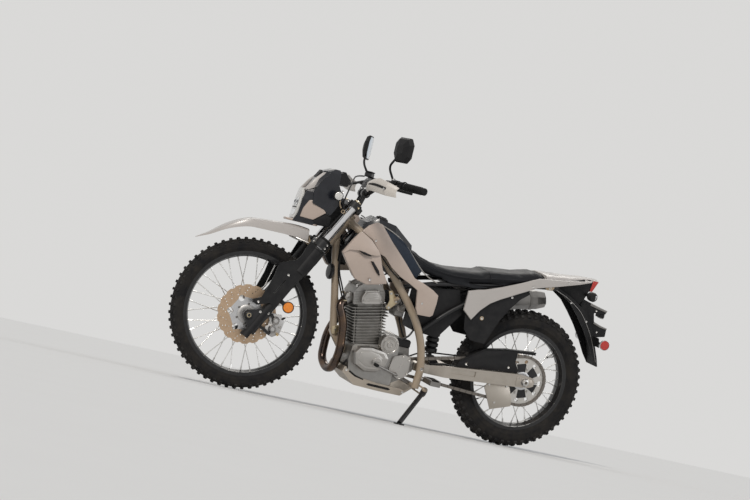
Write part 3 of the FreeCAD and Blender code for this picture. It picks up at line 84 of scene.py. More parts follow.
@dataclass(frozen=True)
class Finish:
    """A surface: its colour, how it shines, and its small variation.

    Args:
        name: material name.
        slot: the record's material slot; not used.
        colour: base colour, linear.
        other: colour that the variation mixes in.
        roughness: middle roughness.
        metallic: 0 or 1.
        scale: size of the variation, in repeats a metre.
        mix: how much of the other colour shows at most.
        bump: height of the grain, in metres.
        grain: size of the grain, in repeats a metre.
        coat: clear coat.
        spread: how far the roughness varies.
        worn: how much bare wear shows along convex edges.
        specular: strength of a plain surface's shine.
    """
    name: str
    slot: str
    colour: Point
    other: Point
    roughness: float = 0.5
    metallic: float = 0.0
    scale: float = 30.0
    mix: float = 0.5
    bump: float = 0.0001
    grain: float = 900.0
    coat: float = 0.0
    spread: float = 0.12
    worn: float = 0.25
    specular: float = 0.5


class Look(Enum):
    """Every finish on the motorcycle."""
    TYRE = Finish("tyre", "tyre_rubber", (0.010, 0.010, 0.011), (0.040, 0.035, 0.029), 0.82, scale=22, mix=0.6,
                  bump=0.0003, grain=520, worn=0.15, specular=0.15)
    RIM = Finish("rim_black", "rim_black", (0.006, 0.006, 0.007), (0.020, 0.019, 0.018), 0.34, scale=40, mix=0.3,
                 coat=0.25, specular=0.4, worn=0.03)
    SPOKE = Finish("spoke_steel", "spoke_steel", (0.82, 0.81, 0.79), (0.62, 0.60, 0.57), 0.26, 1.0, scale=60)
    HUB = Finish("hub_alloy", "hub_silver", (0.52, 0.51, 0.50), (0.34, 0.33, 0.32), 0.42, 1.0, scale=50)
    DISC = Finish("disc_steel", "disc_steel", (0.52, 0.38, 0.26), (0.36, 0.26, 0.175), 0.50, 1.0, scale=60,
                  bump=0.00005,
                  grain=1400)
    CARRIER = Finish("carrier_alloy", "disc_steel", (0.62, 0.62, 0.63), (0.45, 0.45, 0.45), 0.34, 1.0, scale=60)
    SPROCKET = Finish("sprocket_steel", "sprocket_steel", (0.62, 0.60, 0.57), (0.42, 0.40, 0.36), 0.40, 1.0, scale=60)
    CHAIN = Finish("chain_steel", "sprocket_steel", (0.20, 0.18, 0.16), (0.09, 0.08, 0.07), 0.45, 1.0, scale=90)
    CHROME = Finish("stanchion_chrome", "fork_black", (0.74, 0.74, 0.75), (0.60, 0.60, 0.62), 0.10, 1.0, scale=20,
                    mix=0.3, bump=0.0, worn=0.0)
    BLACK_PAINT = Finish("black_paint", "fork_black", (0.007, 0.007, 0.008), (0.022, 0.022, 0.023), 0.42, scale=35,
                         mix=0.35,
                         coat=0.15, specular=0.35, worn=0.03)
    GUARD = Finish("guard_plastic", "guard_black", (0.006, 0.006, 0.007), (0.020, 0.019, 0.018), 0.52, scale=26,
                   mix=0.4,
                   bump=0.00012, grain=1300, specular=0.25, worn=0.03)
    BLACK_PLASTIC = Finish("black_plastic", "frame_black", (0.007, 0.007, 0.008), (0.022, 0.021, 0.020), 0.56, scale=28,
                           mix=0.4, bump=0.00016, grain=1500, specular=0.22, worn=0.03)
    NAVY = Finish("dark_gloss_plastic", "tank_black", (0.005, 0.006, 0.010), (0.012, 0.014, 0.020), 0.24, scale=30,
                  coat=0.4, specular=0.35, worn=0.03)
    KNEE = Finish("knee_pad_vinyl", "tank_black", (0.008, 0.014, 0.026), (0.018, 0.030, 0.050), 0.46, scale=60, mix=0.5,
                  bump=0.0008, grain=150, specular=0.25, worn=0.03)
    GREY = Finish("light_grey_plastic", "fender_grey", (0.45, 0.42, 0.395), (0.38, 0.355, 0.33), 0.34, scale=16,
                  mix=0.35,
                  coat=0.15, bump=0.00004, worn=0.12)
    SAND = Finish("sand_plastic", "body_sand", (0.46, 0.375, 0.32), (0.39, 0.315, 0.26), 0.40, scale=16, mix=0.4,
                  coat=0.1,
                  bump=0.00005, worn=0.12)
    TAN = Finish("tan_plastic", "body_sand", (0.47, 0.36, 0.235), (0.40, 0.30, 0.19), 0.44, scale=18, mix=0.4,
                 bump=0.00006)
    FRAME_PAINT = Finish("frame_paint", "frame_sand", (0.36, 0.285, 0.205), (0.29, 0.225, 0.16), 0.34, scale=24,
                         mix=0.4,
                         coat=0.25)
    WHITE = Finish("guard_white", "handguard_white", (0.60, 0.56, 0.51), (0.52, 0.48, 0.43), 0.38, scale=24, mix=0.4)
    ENGINE = Finish("engine_alloy", "engine_alloy", (0.34, 0.33, 0.315), (0.15, 0.14, 0.13), 0.46, 1.0, scale=45,
                    bump=0.00018, grain=1000, worn=0.5)
    FIN = Finish("fin_alloy", "engine_alloy", (0.21, 0.20, 0.185), (0.11, 0.10, 0.09), 0.48, 1.0, scale=45,
                 bump=0.00015, grain=1000, worn=0.8)
    COVER = Finish("cover_alloy", "cover_silver", (0.50, 0.48, 0.455), (0.32, 0.305, 0.285), 0.33, 1.0, scale=36,
                   bump=0.00008, grain=1100)
    PLATED = Finish("zinc_plated", "control_steel", (0.60, 0.50, 0.34), (0.44, 0.36, 0.23), 0.36, 1.0, scale=50)
    HEADER = Finish("header_steel", "exhaust_steel", (0.060, 0.055, 0.058), (0.20, 0.125, 0.075), 0.27, 1.0, scale=12,
                    mix=0.8)
    MUFFLER = Finish("muffler_steel", "exhaust_steel", (0.30, 0.29, 0.28), (0.18, 0.17, 0.16), 0.36, 1.0, scale=24)
    SEAT = Finish("seat_vinyl", "seat_cover", (0.006, 0.0065, 0.008), (0.014, 0.015, 0.018), 0.50, scale=30, mix=0.5,
                  bump=0.0003, grain=760, worn=0.1, specular=0.18)
    SEAM = Finish("seat_piping", "seat_cover", (0.36, 0.34, 0.31), (0.26, 0.24, 0.22), 0.5, scale=80, mix=0.5)
    RUBBER = Finish("grip_rubber", "grip_rubber", (0.008, 0.008, 0.008), (0.018, 0.018, 0.018), 0.7, scale=40,
                    bump=0.0002, grain=900, specular=0.15, worn=0.03)
    BOLT = Finish("bolt_steel", "control_steel", (0.58, 0.57, 0.55), (0.40, 0.38, 0.36), 0.30, 1.0, scale=120)
    ARM = Finish("arm_alloy", "arm_silver", (0.47, 0.43, 0.38), (0.37, 0.33, 0.28), 0.36, 1.0, scale=30, bump=0.00006)
    SKID = Finish("skid_alloy", "arm_silver", (0.50, 0.44, 0.37), (0.36, 0.31, 0.25), 0.42, 1.0, scale=24, bump=0.0001)
    STEEL = Finish("control_steel", "control_steel", (0.26, 0.25, 0.24), (0.15, 0.14, 0.13), 0.42, 1.0, scale=60)
    CABLE = Finish("cable_black", "frame_black", (0.006, 0.006, 0.007), (0.014, 0.014, 0.014), 0.45, scale=50,
                   specular=0.3, worn=0.03)
    SCREEN = Finish("meter_screen", "lens_clear", (0.055, 0.065, 0.070), (0.085, 0.095, 0.10), 0.12, scale=30, coat=0.5,
                    worn=0.03)
    MIRROR = Finish("mirror_glass", "lens_clear", (0.66, 0.74, 0.82), (0.62, 0.70, 0.78), 0.04, 1.0, scale=10, mix=0.2,
                    bump=0.0, worn=0.0)
    REFLECTOR = Finish("lamp_reflector", "lamp_clear", (0.82, 0.83, 0.84), (0.70, 0.71, 0.72), 0.10, 1.0, scale=30,
                       bump=0.0004, grain=260, worn=0.0)


@dataclass(frozen=True)
class Lens:
    """A moulded lamp lens.

    Args:
        name: material name.
        slot: the record's material slot; not used.
        colour: tint, linear.
        deep: darker tint of the moulded ribs.
        roughness: surface roughness.
        alpha: how solid it looks.
    """
    name: str
    slot: str
    colour: Point
    deep: Point
    roughness: float = 0.06
    alpha: float = 1.0


class Glass(Enum):
    """Lenses of the lamps and reflectors."""
    SIGNAL = Lens("lens_signal", "lamp_clear", (0.78, 0.77, 0.74), (0.58, 0.57, 0.54), 0.08, 0.95)
    RED = Lens("lens_red", "lamp_red", (0.62, 0.030, 0.018), (0.30, 0.012, 0.008), 0.10, 1.0)
    AMBER = Lens("lens_amber", "lamp_clear", (0.92, 0.30, 0.015), (0.66, 0.17, 0.008), 0.10, 1.0)


Skin = Look | Glass


def shader_nodes(tree: bpy.types.NodeTree, *kinds: str) -> list[bpy.types.Node]:
    """New shader nodes in a tree.

    Args:
        tree: the tree.
        kinds: their kinds.

    Returns:
        The nodes, in the order of the kinds.
    """
    return [tree.nodes.new("ShaderNode" + kind) for kind in kinds]


def weathering_group() -> bpy.types.NodeTree:
    """Shared node group: a soft mottle, a fine grain and worn convex edges from object coordinates.

    Returns:
        The group, with a vector, two scales and an amount of wear in, and a mottle, a grain height and a wear mask out.
    """
    tree = bpy.data.node_groups.new("weathering", "ShaderNodeTree")
    face = tree.interface
    face.new_socket("Vector", in_out="INPUT", socket_type="NodeSocketVector")
    for name, value in (("Scale", 30.0), ("Grain", 900.0), ("Worn", 0.25)):
        face.new_socket(name, in_out="INPUT", socket_type="NodeSocketFloat").default_value = value
    for name in ("Mottle", "Height", "Wear"):
        face.new_socket(name, in_out="OUTPUT", socket_type="NodeSocketFloat")
    nodes, links = tree.nodes, tree.links
    entry, leave = nodes.new("NodeGroupInput"), nodes.new("NodeGroupOutput")
    broad, fine, cut, edges, sharp, patchy, amount = shader_nodes(
        tree, "TexNoise", "TexNoise", "MapRange", "NewGeometry", "MapRange", "Math", "Math")
    broad.inputs["Detail"].default_value, broad.inputs["Roughness"].default_value = 5.0, 0.62
    fine.inputs["Detail"].default_value = 2.0
    cut.inputs["From Min"].default_value, cut.inputs["From Max"].default_value = 0.34, 0.70
    sharp.inputs["From Min"].default_value, sharp.inputs["From Max"].default_value = 0.52, 0.62
    patchy.operation = amount.operation = "MULTIPLY"
    links.new(entry.outputs["Vector"], broad.inputs["Vector"])
    links.new(entry.outputs["Vector"], fine.inputs["Vector"])
    links.new(entry.outputs["Scale"], broad.inputs["Scale"])
    links.new(entry.outputs["Grain"], fine.inputs["Scale"])
    links.new(broad.outputs["Fac"], cut.inputs["Value"])
    links.new(edges.outputs["Pointiness"], sharp.inputs["Value"])
    links.new(sharp.outputs["Result"], patchy.inputs[0])
    links.new(cut.outputs["Result"], patchy.inputs[1])
    links.new(patchy.outputs[0], amount.inputs[0])
    links.new(entry.outputs["Worn"], amount.inputs[1])
    links.new(cut.outputs["Result"], leave.inputs["Mottle"])
    links.new(fine.outputs["Fac"], leave.inputs["Height"])
    links.new(amount.outputs[0], leave.inputs["Wear"])
    return tree


WEATHERING = weathering_group()
_materials: dict[str, bpy.types.Material] = {}


def finish_material(spec: Finish) -> bpy.types.Material:
    """Node material of a finish, on object coordinates.

    Args:
        spec: the finish.

    Returns:
        The material.
    """
    mat = bpy.data.materials.new(spec.name)
    mat.use_nodes = True
    nodes, links = mat.node_tree.nodes, mat.node_tree.links
    shader = nodes["Principled BSDF"]
    place, group, blend, bare, amount, rough = shader_nodes(
        mat.node_tree, "TexCoord", "Group", "Mix", "Mix", "Math", "MapRange")
    group.node_tree = WEATHERING
    for name, value in (("Scale", spec.scale), ("Grain", spec.grain), ("Worn", spec.worn)):
        group.inputs[name].default_value = value
    links.new(place.outputs["Object"], group.inputs["Vector"])
    blend.data_type = bare.data_type = "RGBA"
    amount.operation, amount.inputs[1].default_value = "MULTIPLY", spec.mix
    blend.inputs["A"].default_value, blend.inputs["B"].default_value = (*spec.colour, 1.0), (*spec.other, 1.0)
    bare.inputs["B"].default_value = (*(min(0.8, 0.16 + 1.25 * tone) for tone in spec.colour), 1.0)
    rough.inputs["To Min"].default_value = max(0.03, spec.roughness - spec.spread / 2)
    rough.inputs["To Max"].default_value = min(1.0, spec.roughness + spec.spread / 2)
    links.new(group.outputs["Mottle"], amount.inputs[0])
    links.new(amount.outputs[0], blend.inputs["Factor"])
    links.new(blend.outputs["Result"], bare.inputs["A"])
    links.new(group.outputs["Wear"], bare.inputs["Factor"])
    links.new(bare.outputs["Result"], shader.inputs["Base Color"])
    links.new(group.outputs["Mottle"], rough.inputs["Value"])
    links.new(rough.outputs["Result"], shader.inputs["Roughness"])
    shader.inputs["Metallic"].default_value = spec.metallic
    shader.inputs["Specular IOR Level"].default_value = spec.specular
    shader.inputs["Coat Weight"].default_value = spec.coat
    shader.inputs["Coat Roughness"].default_value = 0.12
    if spec.bump > 0:
        bump, = shader_nodes(mat.node_tree, "Bump")
        bump.inputs["Distance"].default_value, bump.inputs["Strength"].default_value = spec.bump, 1.0
        links.new(group.outputs["Height"], bump.inputs["Height"])
        links.new(bump.outputs["Normal"], shader.inputs["Normal"])
    return mat


def lens_material(spec: Lens) -> bpy.types.Material:
    """Moulded lens material, with fine facets under a smooth coat.

    Args:
        spec: the lens.

    Returns:
        The material.
    """
    mat = bpy.data.materials.new(spec.name)
    mat.use_nodes = True
    nodes, links = mat.node_tree.nodes, mat.node_tree.links
    shader = nodes["Principled BSDF"]
    place, facets, tone, bump = shader_nodes(mat.node_tree, "TexCoord", "TexVoronoi", "Mix", "Bump")
    facets.inputs["Scale"].default_value = 260.0
    tone.data_type = "RGBA"
    tone.inputs["A"].default_value, tone.inputs["B"].default_value = (*spec.colour, 1.0), (*spec.deep, 1.0)
    bump.inputs["Distance"].default_value = 0.0006
    links.new(place.outputs["Object"], facets.inputs["Vector"])
    links.new(facets.outputs["Distance"], tone.inputs["Factor"])
    links.new(facets.outputs["Distance"], bump.inputs["Height"])
    links.new(tone.outputs["Result"], shader.inputs["Base Color"])
    links.new(bump.outputs["Normal"], shader.inputs["Normal"])
    shader.inputs["Roughness"].default_value = spec.roughness
    shader.inputs["Alpha"].default_value = spec.alpha
    shader.inputs["Coat Weight"].default_value = 0.6
    shader.inputs["Coat Roughness"].default_value = 0.04
    return mat


def material(skin: Skin) -> bpy.types.Material:
    """Material of a finish or a lens, made once.

    Args:
        skin: the finish or the lens.

    Returns:
        Its node material.
    """
    spec = skin.value
    if spec.name not in _materials:
        _materials[spec.name] = finish_material(spec) if isinstance(skin, Look) else lens_material(spec)
    return _materials[spec.name]


# Shapes, in millimetres
def plate(outline: Outline, low: float, high: float, bevel: float = 1.2, segments: int = 2,
          face: Callable[[float, float], float] | None = None) -> bmesh.types.BMesh:
    """A flat piece: its outline in x and z, from one y to another, with softened edges.

    Args:
        outline: corners in order, x and z.
        low: y of the back.
        high: y of the face.
        bevel: width of the softened edges, 0 for none.
        segments: steps of that softening.
        face: y of the face at an x and z, where it isn't flat.

    Returns:
        The shape.
    """
    work = bmesh.new()
    back = work.faces.new([work.verts.new((x, low, z)) for x, z in outline])
    grown = bmesh.ops.extrude_face_region(work, geom=[back])
    for vert in (v for v in grown["geom"] if isinstance(v, bmesh.types.BMVert)):
        vert.co.y = face(vert.co.x, vert.co.z) if face else high
    bmesh.ops.recalc_face_normals(work, faces=work.faces)
    if bevel > 0:
        soften(work, work.edges[:], bevel, segments)
    return work


def lathe(profile: Outline, steps: int = 40, closed: bool = False) -> bmesh.types.BMesh:
    """A turned shape round the y axis.

    Args:
        profile: radius and y of each corner, in order.
        steps: facets round.
        closed: whether the last corner joins the first.

    Returns:
        The shape.
    """
    work = bmesh.new()
    verts = [work.verts.new((radius, y, 0.0)) for radius, y in profile]
    for one, other in zip(verts, verts[1:] + (verts[:1] if closed else [])):
        work.edges.new((one, other))
    bmesh.ops.spin(work, geom=work.verts[:] + work.edges[:], cent=(0, 0, 0), axis=(0, 1, 0), dvec=(0, 0, 0),
                   angle=2 * math.pi, steps=steps, use_merge=True)
    bmesh.ops.remove_doubles(work, verts=work.verts, dist=0.001)
    bmesh.ops.recalc_face_normals(work, faces=work.faces)
    return work


def screw(radius: float, height: float, sides: int = 16, socket: float = 0.5) -> bmesh.types.BMesh:
    """A screw head on the z axis, with a socket in its top.

    Args:
        radius: head radius.
        height: head height.
        sides: facets round, 6 for a hexagon.
        socket: socket radius as a share of the head's, 0 for none.

    Returns:
        The shape.
    """
    work = bmesh.new()
    bmesh.ops.create_cone(work, cap_ends=True, segments=sides, radius1=radius, radius2=radius * 0.88,
                          depth=height + 2.0)
    bmesh.ops.translate(work, verts=work.verts, vec=(0, 0, height / 2 - 1.0))
    if socket > 0:
        top = max(work.faces, key=lambda f: f.calc_center_median().z)
        bmesh.ops.inset_individual(work, faces=[top], thickness=radius * 0.88 * (1 - socket))
        bmesh.ops.translate(work, verts=top.verts, vec=(0, 0, -height * 0.6))
    return work


def rod(points: Line, radius: float, sides: int = 3, closed: bool = False) -> bmesh.types.BMesh:
    """A round bar or cable that bends smoothly past its points.

    Args:
        points: control points of its line.
        radius: radius.
        sides: bevel resolution.
        closed: whether the line closes on itself.

    Returns:
        The shape.
    """
    curve = bpy.data.curves.new("line", "CURVE")
    curve.dimensions, curve.bevel_depth, curve.bevel_resolution, curve.use_fill_caps = "3D", radius, sides, True
    spline = curve.splines.new("NURBS")
    spline.points.add(len(points) - 1)
    for point, co in zip(spline.points, points):
        point.co = (*co, 1.0)
    spline.order_u, spline.use_endpoint_u, spline.use_cyclic_u, spline.resolution_u = 3, not closed, closed, 6
    holder = bpy.data.objects.new("line", curve)
    mesh = bpy.data.meshes.new_from_object(holder)
    work = bmesh.new()
    work.from_mesh(mesh)
    bmesh.ops.remove_doubles(work, verts=work.verts, dist=0.01)
    bpy.data.objects.remove(holder)
    bpy.data.meshes.remove(mesh)
    bpy.data.curves.remove(curve)
    return work


def block(size: Point, bevel: float = 1.0, taper: float = 1.0) -> bmesh.types.BMesh:
    """A softened block round the origin.

    Args:
        size: its lengths along x, y and z.
        bevel: width of its softened edges.
        taper: scale of its top.

    Returns:
        The shape.
    """
    work = bmesh.new()
    bmesh.ops.create_cube(work, size=1.0)
    bmesh.ops.scale(work, vec=size, verts=work.verts)
    bmesh.ops.scale(work, vec=(taper, taper, 1.0), verts=[v for v in work.verts if v.co.z > 0])
    if bevel > 0:
        bmesh.ops.bevel(work, geom=work.edges[:], offset=bevel, offset_type="OFFSET", segments=1, profile=0.5,
                        affect="EDGES", material=-1)
    return work


def copy_of(node: str) -> bmesh.types.BMesh:
    """A CAD node's mesh, merged, in metres.

    Args:
        node: CAD node.

    Returns:
        The shape.
    """
    work = bmesh.new()
    work.from_mesh(frame["nodes"][node].data)
    bmesh.ops.remove_doubles(work, verts=work.verts, dist=0.00001)
    return work


def loft(rings: Sequence[Line]) -> bmesh.types.BMesh:
    """A closed shape through rings of corners, capped at both ends.

    Args:
        rings: each ring's corners in order, as many in each.

    Returns:
        The shape.
    """
    work, loops = bmesh.new(), []
    for ring in rings:
        verts = [work.verts.new(corner) for corner in ring]
        loops.append([work.edges.new(pair) for pair in zip(verts, verts[1:] + verts[:1])])
    for one, other in zip(loops, loops[1:]):
        bmesh.ops.bridge_loops(work, edges=one + other)
    for loop in (loops[0], loops[-1]):
        bmesh.ops.edgeloop_fill(work, edges=loop)
    bmesh.ops.recalc_face_normals(work, faces=work.faces)
    return work


def soften(work: bmesh.types.BMesh, edges: Sequence[bmesh.types.BMEdge], width: float, segments: int = 2) -> None:
    """Round off edges of a shape.

    Args:
        work: the shape.
        edges: its edges to soften.
        width: width of the softened edges.
        segments: steps of the softening.
    """
    bmesh.ops.bevel(work, geom=edges, offset=width, offset_type="OFFSET", segments=segments, profile=0.5,
                    affect="EDGES", material=-1, clamp_overlap=True)


def smoothed(rows: Sequence[Sequence[float]], steps: int) -> list[list[float]]:
    """Rows of sizes with more rows between them, on a smooth curve through the given ones.

    Args:
        rows: the given rows.
        steps: how many rows each gap becomes.

    Returns:
        All rows, in order.
    """
    found = []
    for i, (one, other) in enumerate(zip(rows, rows[1:])):
        before, after = rows[max(i - 1, 0)], rows[min(i + 2, len(rows) - 1)]
        for step in range(steps):
            t = step / steps
            found.append([0.5 * (2 * b + (c - a) * t + (2 * a - 5 * b + 4 * c - d) * t ** 2
                                 + (3 * b - a - 3 * c + d) * t ** 3)
                          for a, b, c, d in zip(before, one, other, after)])
    return found + [list(rows[-1])]


def facing(spot: Point, direction: Point = (0.0, -1.0, 0.0)) -> Matrix:
    """Place of a shape on the z axis that stands at a point and faces a direction.

    Args:
        spot: the point.
        direction: where its z axis goes.

    Returns:
        The matrix.
    """
    return Matrix.Translation(spot) @ Vector(direction).to_track_quat("Z", "Y").to_matrix().to_4x4()


def along(spot: Point, direction: Point) -> Matrix:
    """Place of a turned shape at a point, its axis along a direction.

    Args:
        spot: the point.
        direction: where its y axis goes.

    Returns:
        The matrix.
    """
    return Matrix.Translation(spot) @ Vector(direction).normalized().to_track_quat("Y", "Z").to_matrix().to_4x4()


def mirrored(points: Line, sign: float) -> list[Point]:
    """Points given for the right side, on the side of a sign.

    Args:
        points: the points.
        sign: -1 left, 1 right.

    Returns:
        The points.
    """
    return [(x, sign * y, z) for x, y, z in points]


def at(x: float, y: float, z: float, turn: float = 0.0, axis: str = "Y") -> Matrix:
    """Place at a point, turned round one axis.

    Args:
        x: place along x.
        y: place along y.
        z: place along z.
        turn: angle in degrees.
        axis: the axis of the turn.

    Returns:
        The matrix.
    """
    return Matrix.Translation((x, y, z)) @ Matrix.Rotation(math.radians(turn), 4, axis)


class Piece:
    """A scene piece in the making: shapes in millimetres of one frame, joined with their finishes."""

    def __init__(self, name: str, body: Body, place: Matrix) -> None:
        """Start a piece.

        Args:
            name: piece name.
            body: the body it rides on.
            place: the frame its shapes are given in.
        """
        self.name, self.body, self.place = name, body, place
        self.mesh, self.skins = bmesh.new(), []

    def add(self, shape: bmesh.types.BMesh, skin: Skin, turn: Matrix | None = None, placed: bool = False) -> None:
        """Join a shape to the piece.

        Args:
            shape: the shape, which is used up.
            skin: its finish.
            turn: its place within the piece's frame.
            placed: whether it is in the row frame already.
        """
        if skin not in self.skins:
            self.skins.append(skin)
        for face in shape.faces:
            face.material_index, face.smooth = self.skins.index(skin), True
        if not placed:
            shape.transform(self.place @ (turn or Matrix()))
        mesh = bpy.data.meshes.new("part")
        shape.to_mesh(mesh)
        shape.free()
        self.mesh.from_mesh(mesh)
        bpy.data.meshes.remove(mesh)

    def repeat(self, shape: bmesh.types.BMesh, skin: Skin, turns: Sequence[Matrix]) -> None:
        """Join copies of a shape, one at each place.

        Args:
            shape: the shape, which is used up.
            skin: its finish.
            turns: the places.
        """
        for turn in turns:
            self.add(shape.copy(), skin, turn)
        shape.free()

    def screws(self, spots: Line, radius: float = 5.0, height: float = 3.0,
               direction: Point = (0.0, -1.0, 0.0), skin: Skin = Look.BOLT, sides: int = 16,
               socket: float = 0.5) -> None:
        """Join screw heads.

        Args:
            spots: where they stand.
            radius: head radius.
            height: head height.
            direction: where they face.
            skin: their finish.
            sides: facets round.
            socket: socket radius as a share of the head's.
        """
        self.repeat(screw(radius, height, sides, socket), skin, [facing(spot, direction) for spot in spots])

    def side_screws(self, sign: float, spots: Line, radius: float, height: float) -> None:
        """Join round screw heads that face one side.

        Args:
            sign: -1 left, 1 right.
            spots: where they stand on the right side.
            radius: head radius.
            height: head height.
        """
        self.screws(mirrored(spots, sign), radius, height, (0, sign, 0), Look.BOLT, 12)

    def done(self, *nodes: str, smooth: float = 0.6) -> bpy.types.Object:
        """Make the object, ride it on its body and hide the nodes it stands for.

        Args:
            nodes: CAD nodes that it replaces.
            smooth: edges flatter than this angle are shaded smooth, radians.

        Returns:
            The object.
        """
        bmesh.ops.recalc_face_normals(self.mesh, faces=self.mesh.faces)
        data = bpy.data.meshes.new(self.name)
        self.mesh.to_mesh(data)
        self.mesh.free()
        for skin in self.skins:
            data.materials.append(material(skin))
        data.set_sharp_from_angle(angle=smooth)
        obj = bpy.data.objects.new(self.name, data)
        bpy.context.scene.collection.objects.link(obj)
        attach(obj, self.body.value)
        if nodes:
            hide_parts(*nodes)
        log.info("%s on %s, %d faces", self.name, self.body.value, len(data.polygons))
        return obj


def applied(obj: bpy.types.Object) -> None:
    """Apply an object's modifiers to its mesh."""
    graph = bpy.context.evaluated_depsgraph_get()
    baked = bpy.data.meshes.new_from_object(obj.evaluated_get(graph), preserve_all_data_layers=True, depsgraph=graph)
    obj.modifiers.clear()
    obj.data = baked


def perforated(piece: Piece, node: str, skin: Skin, drill: bmesh.types.BMesh,
               spots: Sequence[Matrix]) -> bpy.types.Object:
    """Make a piece of a CAD node's mesh with a shape cut out of it at each place.

    Args:
        piece: the piece, still empty.
        node: CAD node that it copies and replaces.
        skin: its finish.
        drill: the shape, which is used up.
        spots: the places.

    Returns:
        The object.
    """
    drills = Piece("drills", piece.body, piece.place)
    drills.repeat(drill, skin, spots)
    bmesh.ops.recalc_face_normals(drills.mesh, faces=drills.mesh.faces)
    cutter = bpy.data.objects.new("drills", bpy.data.meshes.new("drills"))
    drills.mesh.to_mesh(cutter.data)
    drills.mesh.free()
    bpy.context.scene.collection.objects.link(cutter)
    piece.add(copy_of(node), skin, placed=True)
    obj = piece.done(node)
    holes = obj.modifiers.new("holes", "BOOLEAN")
    holes.object, holes.operation, holes.solver = cutter, "DIFFERENCE", "EXACT"
    applied(obj)
    obj.data.set_sharp_from_angle(angle=0.35)
    bpy.data.objects.remove(cutter)
    return obj


def dress(node: str, skin: Skin, smooth: float = 0.6) -> None:
    """Give a CAD node its material and its shading.

    Args:
        node: CAD node.
        skin: finish or lens.
        smooth: edges flatter than this angle are shaded smooth, radians.
    """
    obj = frame["nodes"][node]
    obj.data.materials.clear()
    obj.data.materials.append(material(skin))
    obj.data.polygons.foreach_set("use_smooth", [True] * len(obj.data.polygons))
    obj.data.set_sharp_from_angle(angle=smooth)


def tint(obj: bpy.types.Object, skin: Skin, place: Matrix, test: Callable[[Vector], bool]) -> None:
    """Give some faces of an object another finish.

    Args:
        obj: the object.
        skin: the finish.
        place: frame in which the test is made.
        test: whether a face's middle, in millimetres of that frame, takes the finish.
    """
    back = place.inverted()
    obj.data.materials.append(material(skin))
    index = len(obj.data.materials) - 1
    for face in obj.data.polygons:
        if test(back @ face.center):
            face.material_index = index


# Wheels
@dataclass
class Tyre:
    """A dual sport tyre: its carcass, turned, and its blocks in rows across the tread."""
    name: str
    node: str
    body: Body
    place: Matrix
    centre: Flat
    profile: Outline   # radius and half width, from the bead to the crown
    blocks: Sequence[tuple[float, float, float, float, float, float, int]]
    # y, radius, tilt, length along, width across, height, which rows: 0 even, 1 odd, 2 every
    rows: int

    def build(self) -> None:
        """Build the tyre."""
        piece = Piece(self.name, self.body, self.place @ at(self.centre[0], 0.0, self.centre[1]))
        half = list(self.profile)
        piece.add(lathe(half + [(r, -y) for r, y in reversed(half)], 96, closed=True), Look.TYRE)
        for y, radius, tilt, length, width, height, which in self.blocks:
            for sign in ((1, -1) if y else (1,)):
                turns = [at(0, 0, 0, 360.0 * (i + (0.5 if sign > 0 and which == 2 else 0.0)) / self.rows) @
                         at(0, sign * y, radius, -sign * tilt, "X")
                         for i in range(self.rows) if which == 2 or i % 2 == which]
                piece.repeat(block((length, width, height), 1.3, 0.86), Look.TYRE, turns)
        piece.done(self.node, smooth=0.7)


@dataclass
class WheelTrim:
    """Spoke nipples, valve and rim lock of a wheel."""
    name: str
    body: Body
    place: Matrix
    centre: Flat
    hub_radius: float
    hub_half: float
    rim_radius: float
    count: int = 36
    sets: Sequence[tuple[int, int, float]] = ((-1, 1, 1.0), (-1, -1, -1.0), (1, 1, -1.0), (1, -1, 1.0))

    def build(self) -> None:
        """Build the trim."""
        piece = Piece(self.name, self.body, self.place @ at(self.centre[0], 0.0, self.centre[1]))
        nipples, heads = [], []
        for i in range(self.count):
            side, lead, outer_face = self.sets[i % len(self.sets)]
            outer = math.radians(360.0 * i / self.count)
            inner = outer + lead * math.radians(62.0)
            start = Vector((self.hub_radius * math.cos(inner), side * (self.hub_half + outer_face * 3.4),
                            self.hub_radius * math.sin(inner)))
            end = Vector((self.rim_radius * math.cos(outer), side * 4.0, self.rim_radius * math.sin(outer)))
            nipples.append(facing(end, start - end))
            heads.append(facing(start, (0.0, side * outer_face, 0.0)))
        piece.repeat(screw(3.6, 17.0, 8, 0.0), Look.SPOKE, nipples)
        piece.repeat(screw(3.8, 2.4, 8, 0.0), Look.BOLT, heads)
        turn = at(0, 0, 0, 47.0)
        piece.add(rod([(0, 0, self.rim_radius - 30), (0, 0, self.rim_radius)], 4.2, 2), Look.BOLT, turn)
        piece.add(screw(5.4, 9.0, 8, 0.0), Look.RUBBER, turn @ facing((0, 0, self.rim_radius - 30), (0, 0, -1)))
        turn = at(0, 0, 0, 112.0)
        piece.add(screw(8.0, 7.0, 6, 0.0), Look.BOLT, turn @ facing((0, 0, self.rim_radius - 2), (0, 0, -1)))
        piece.done()


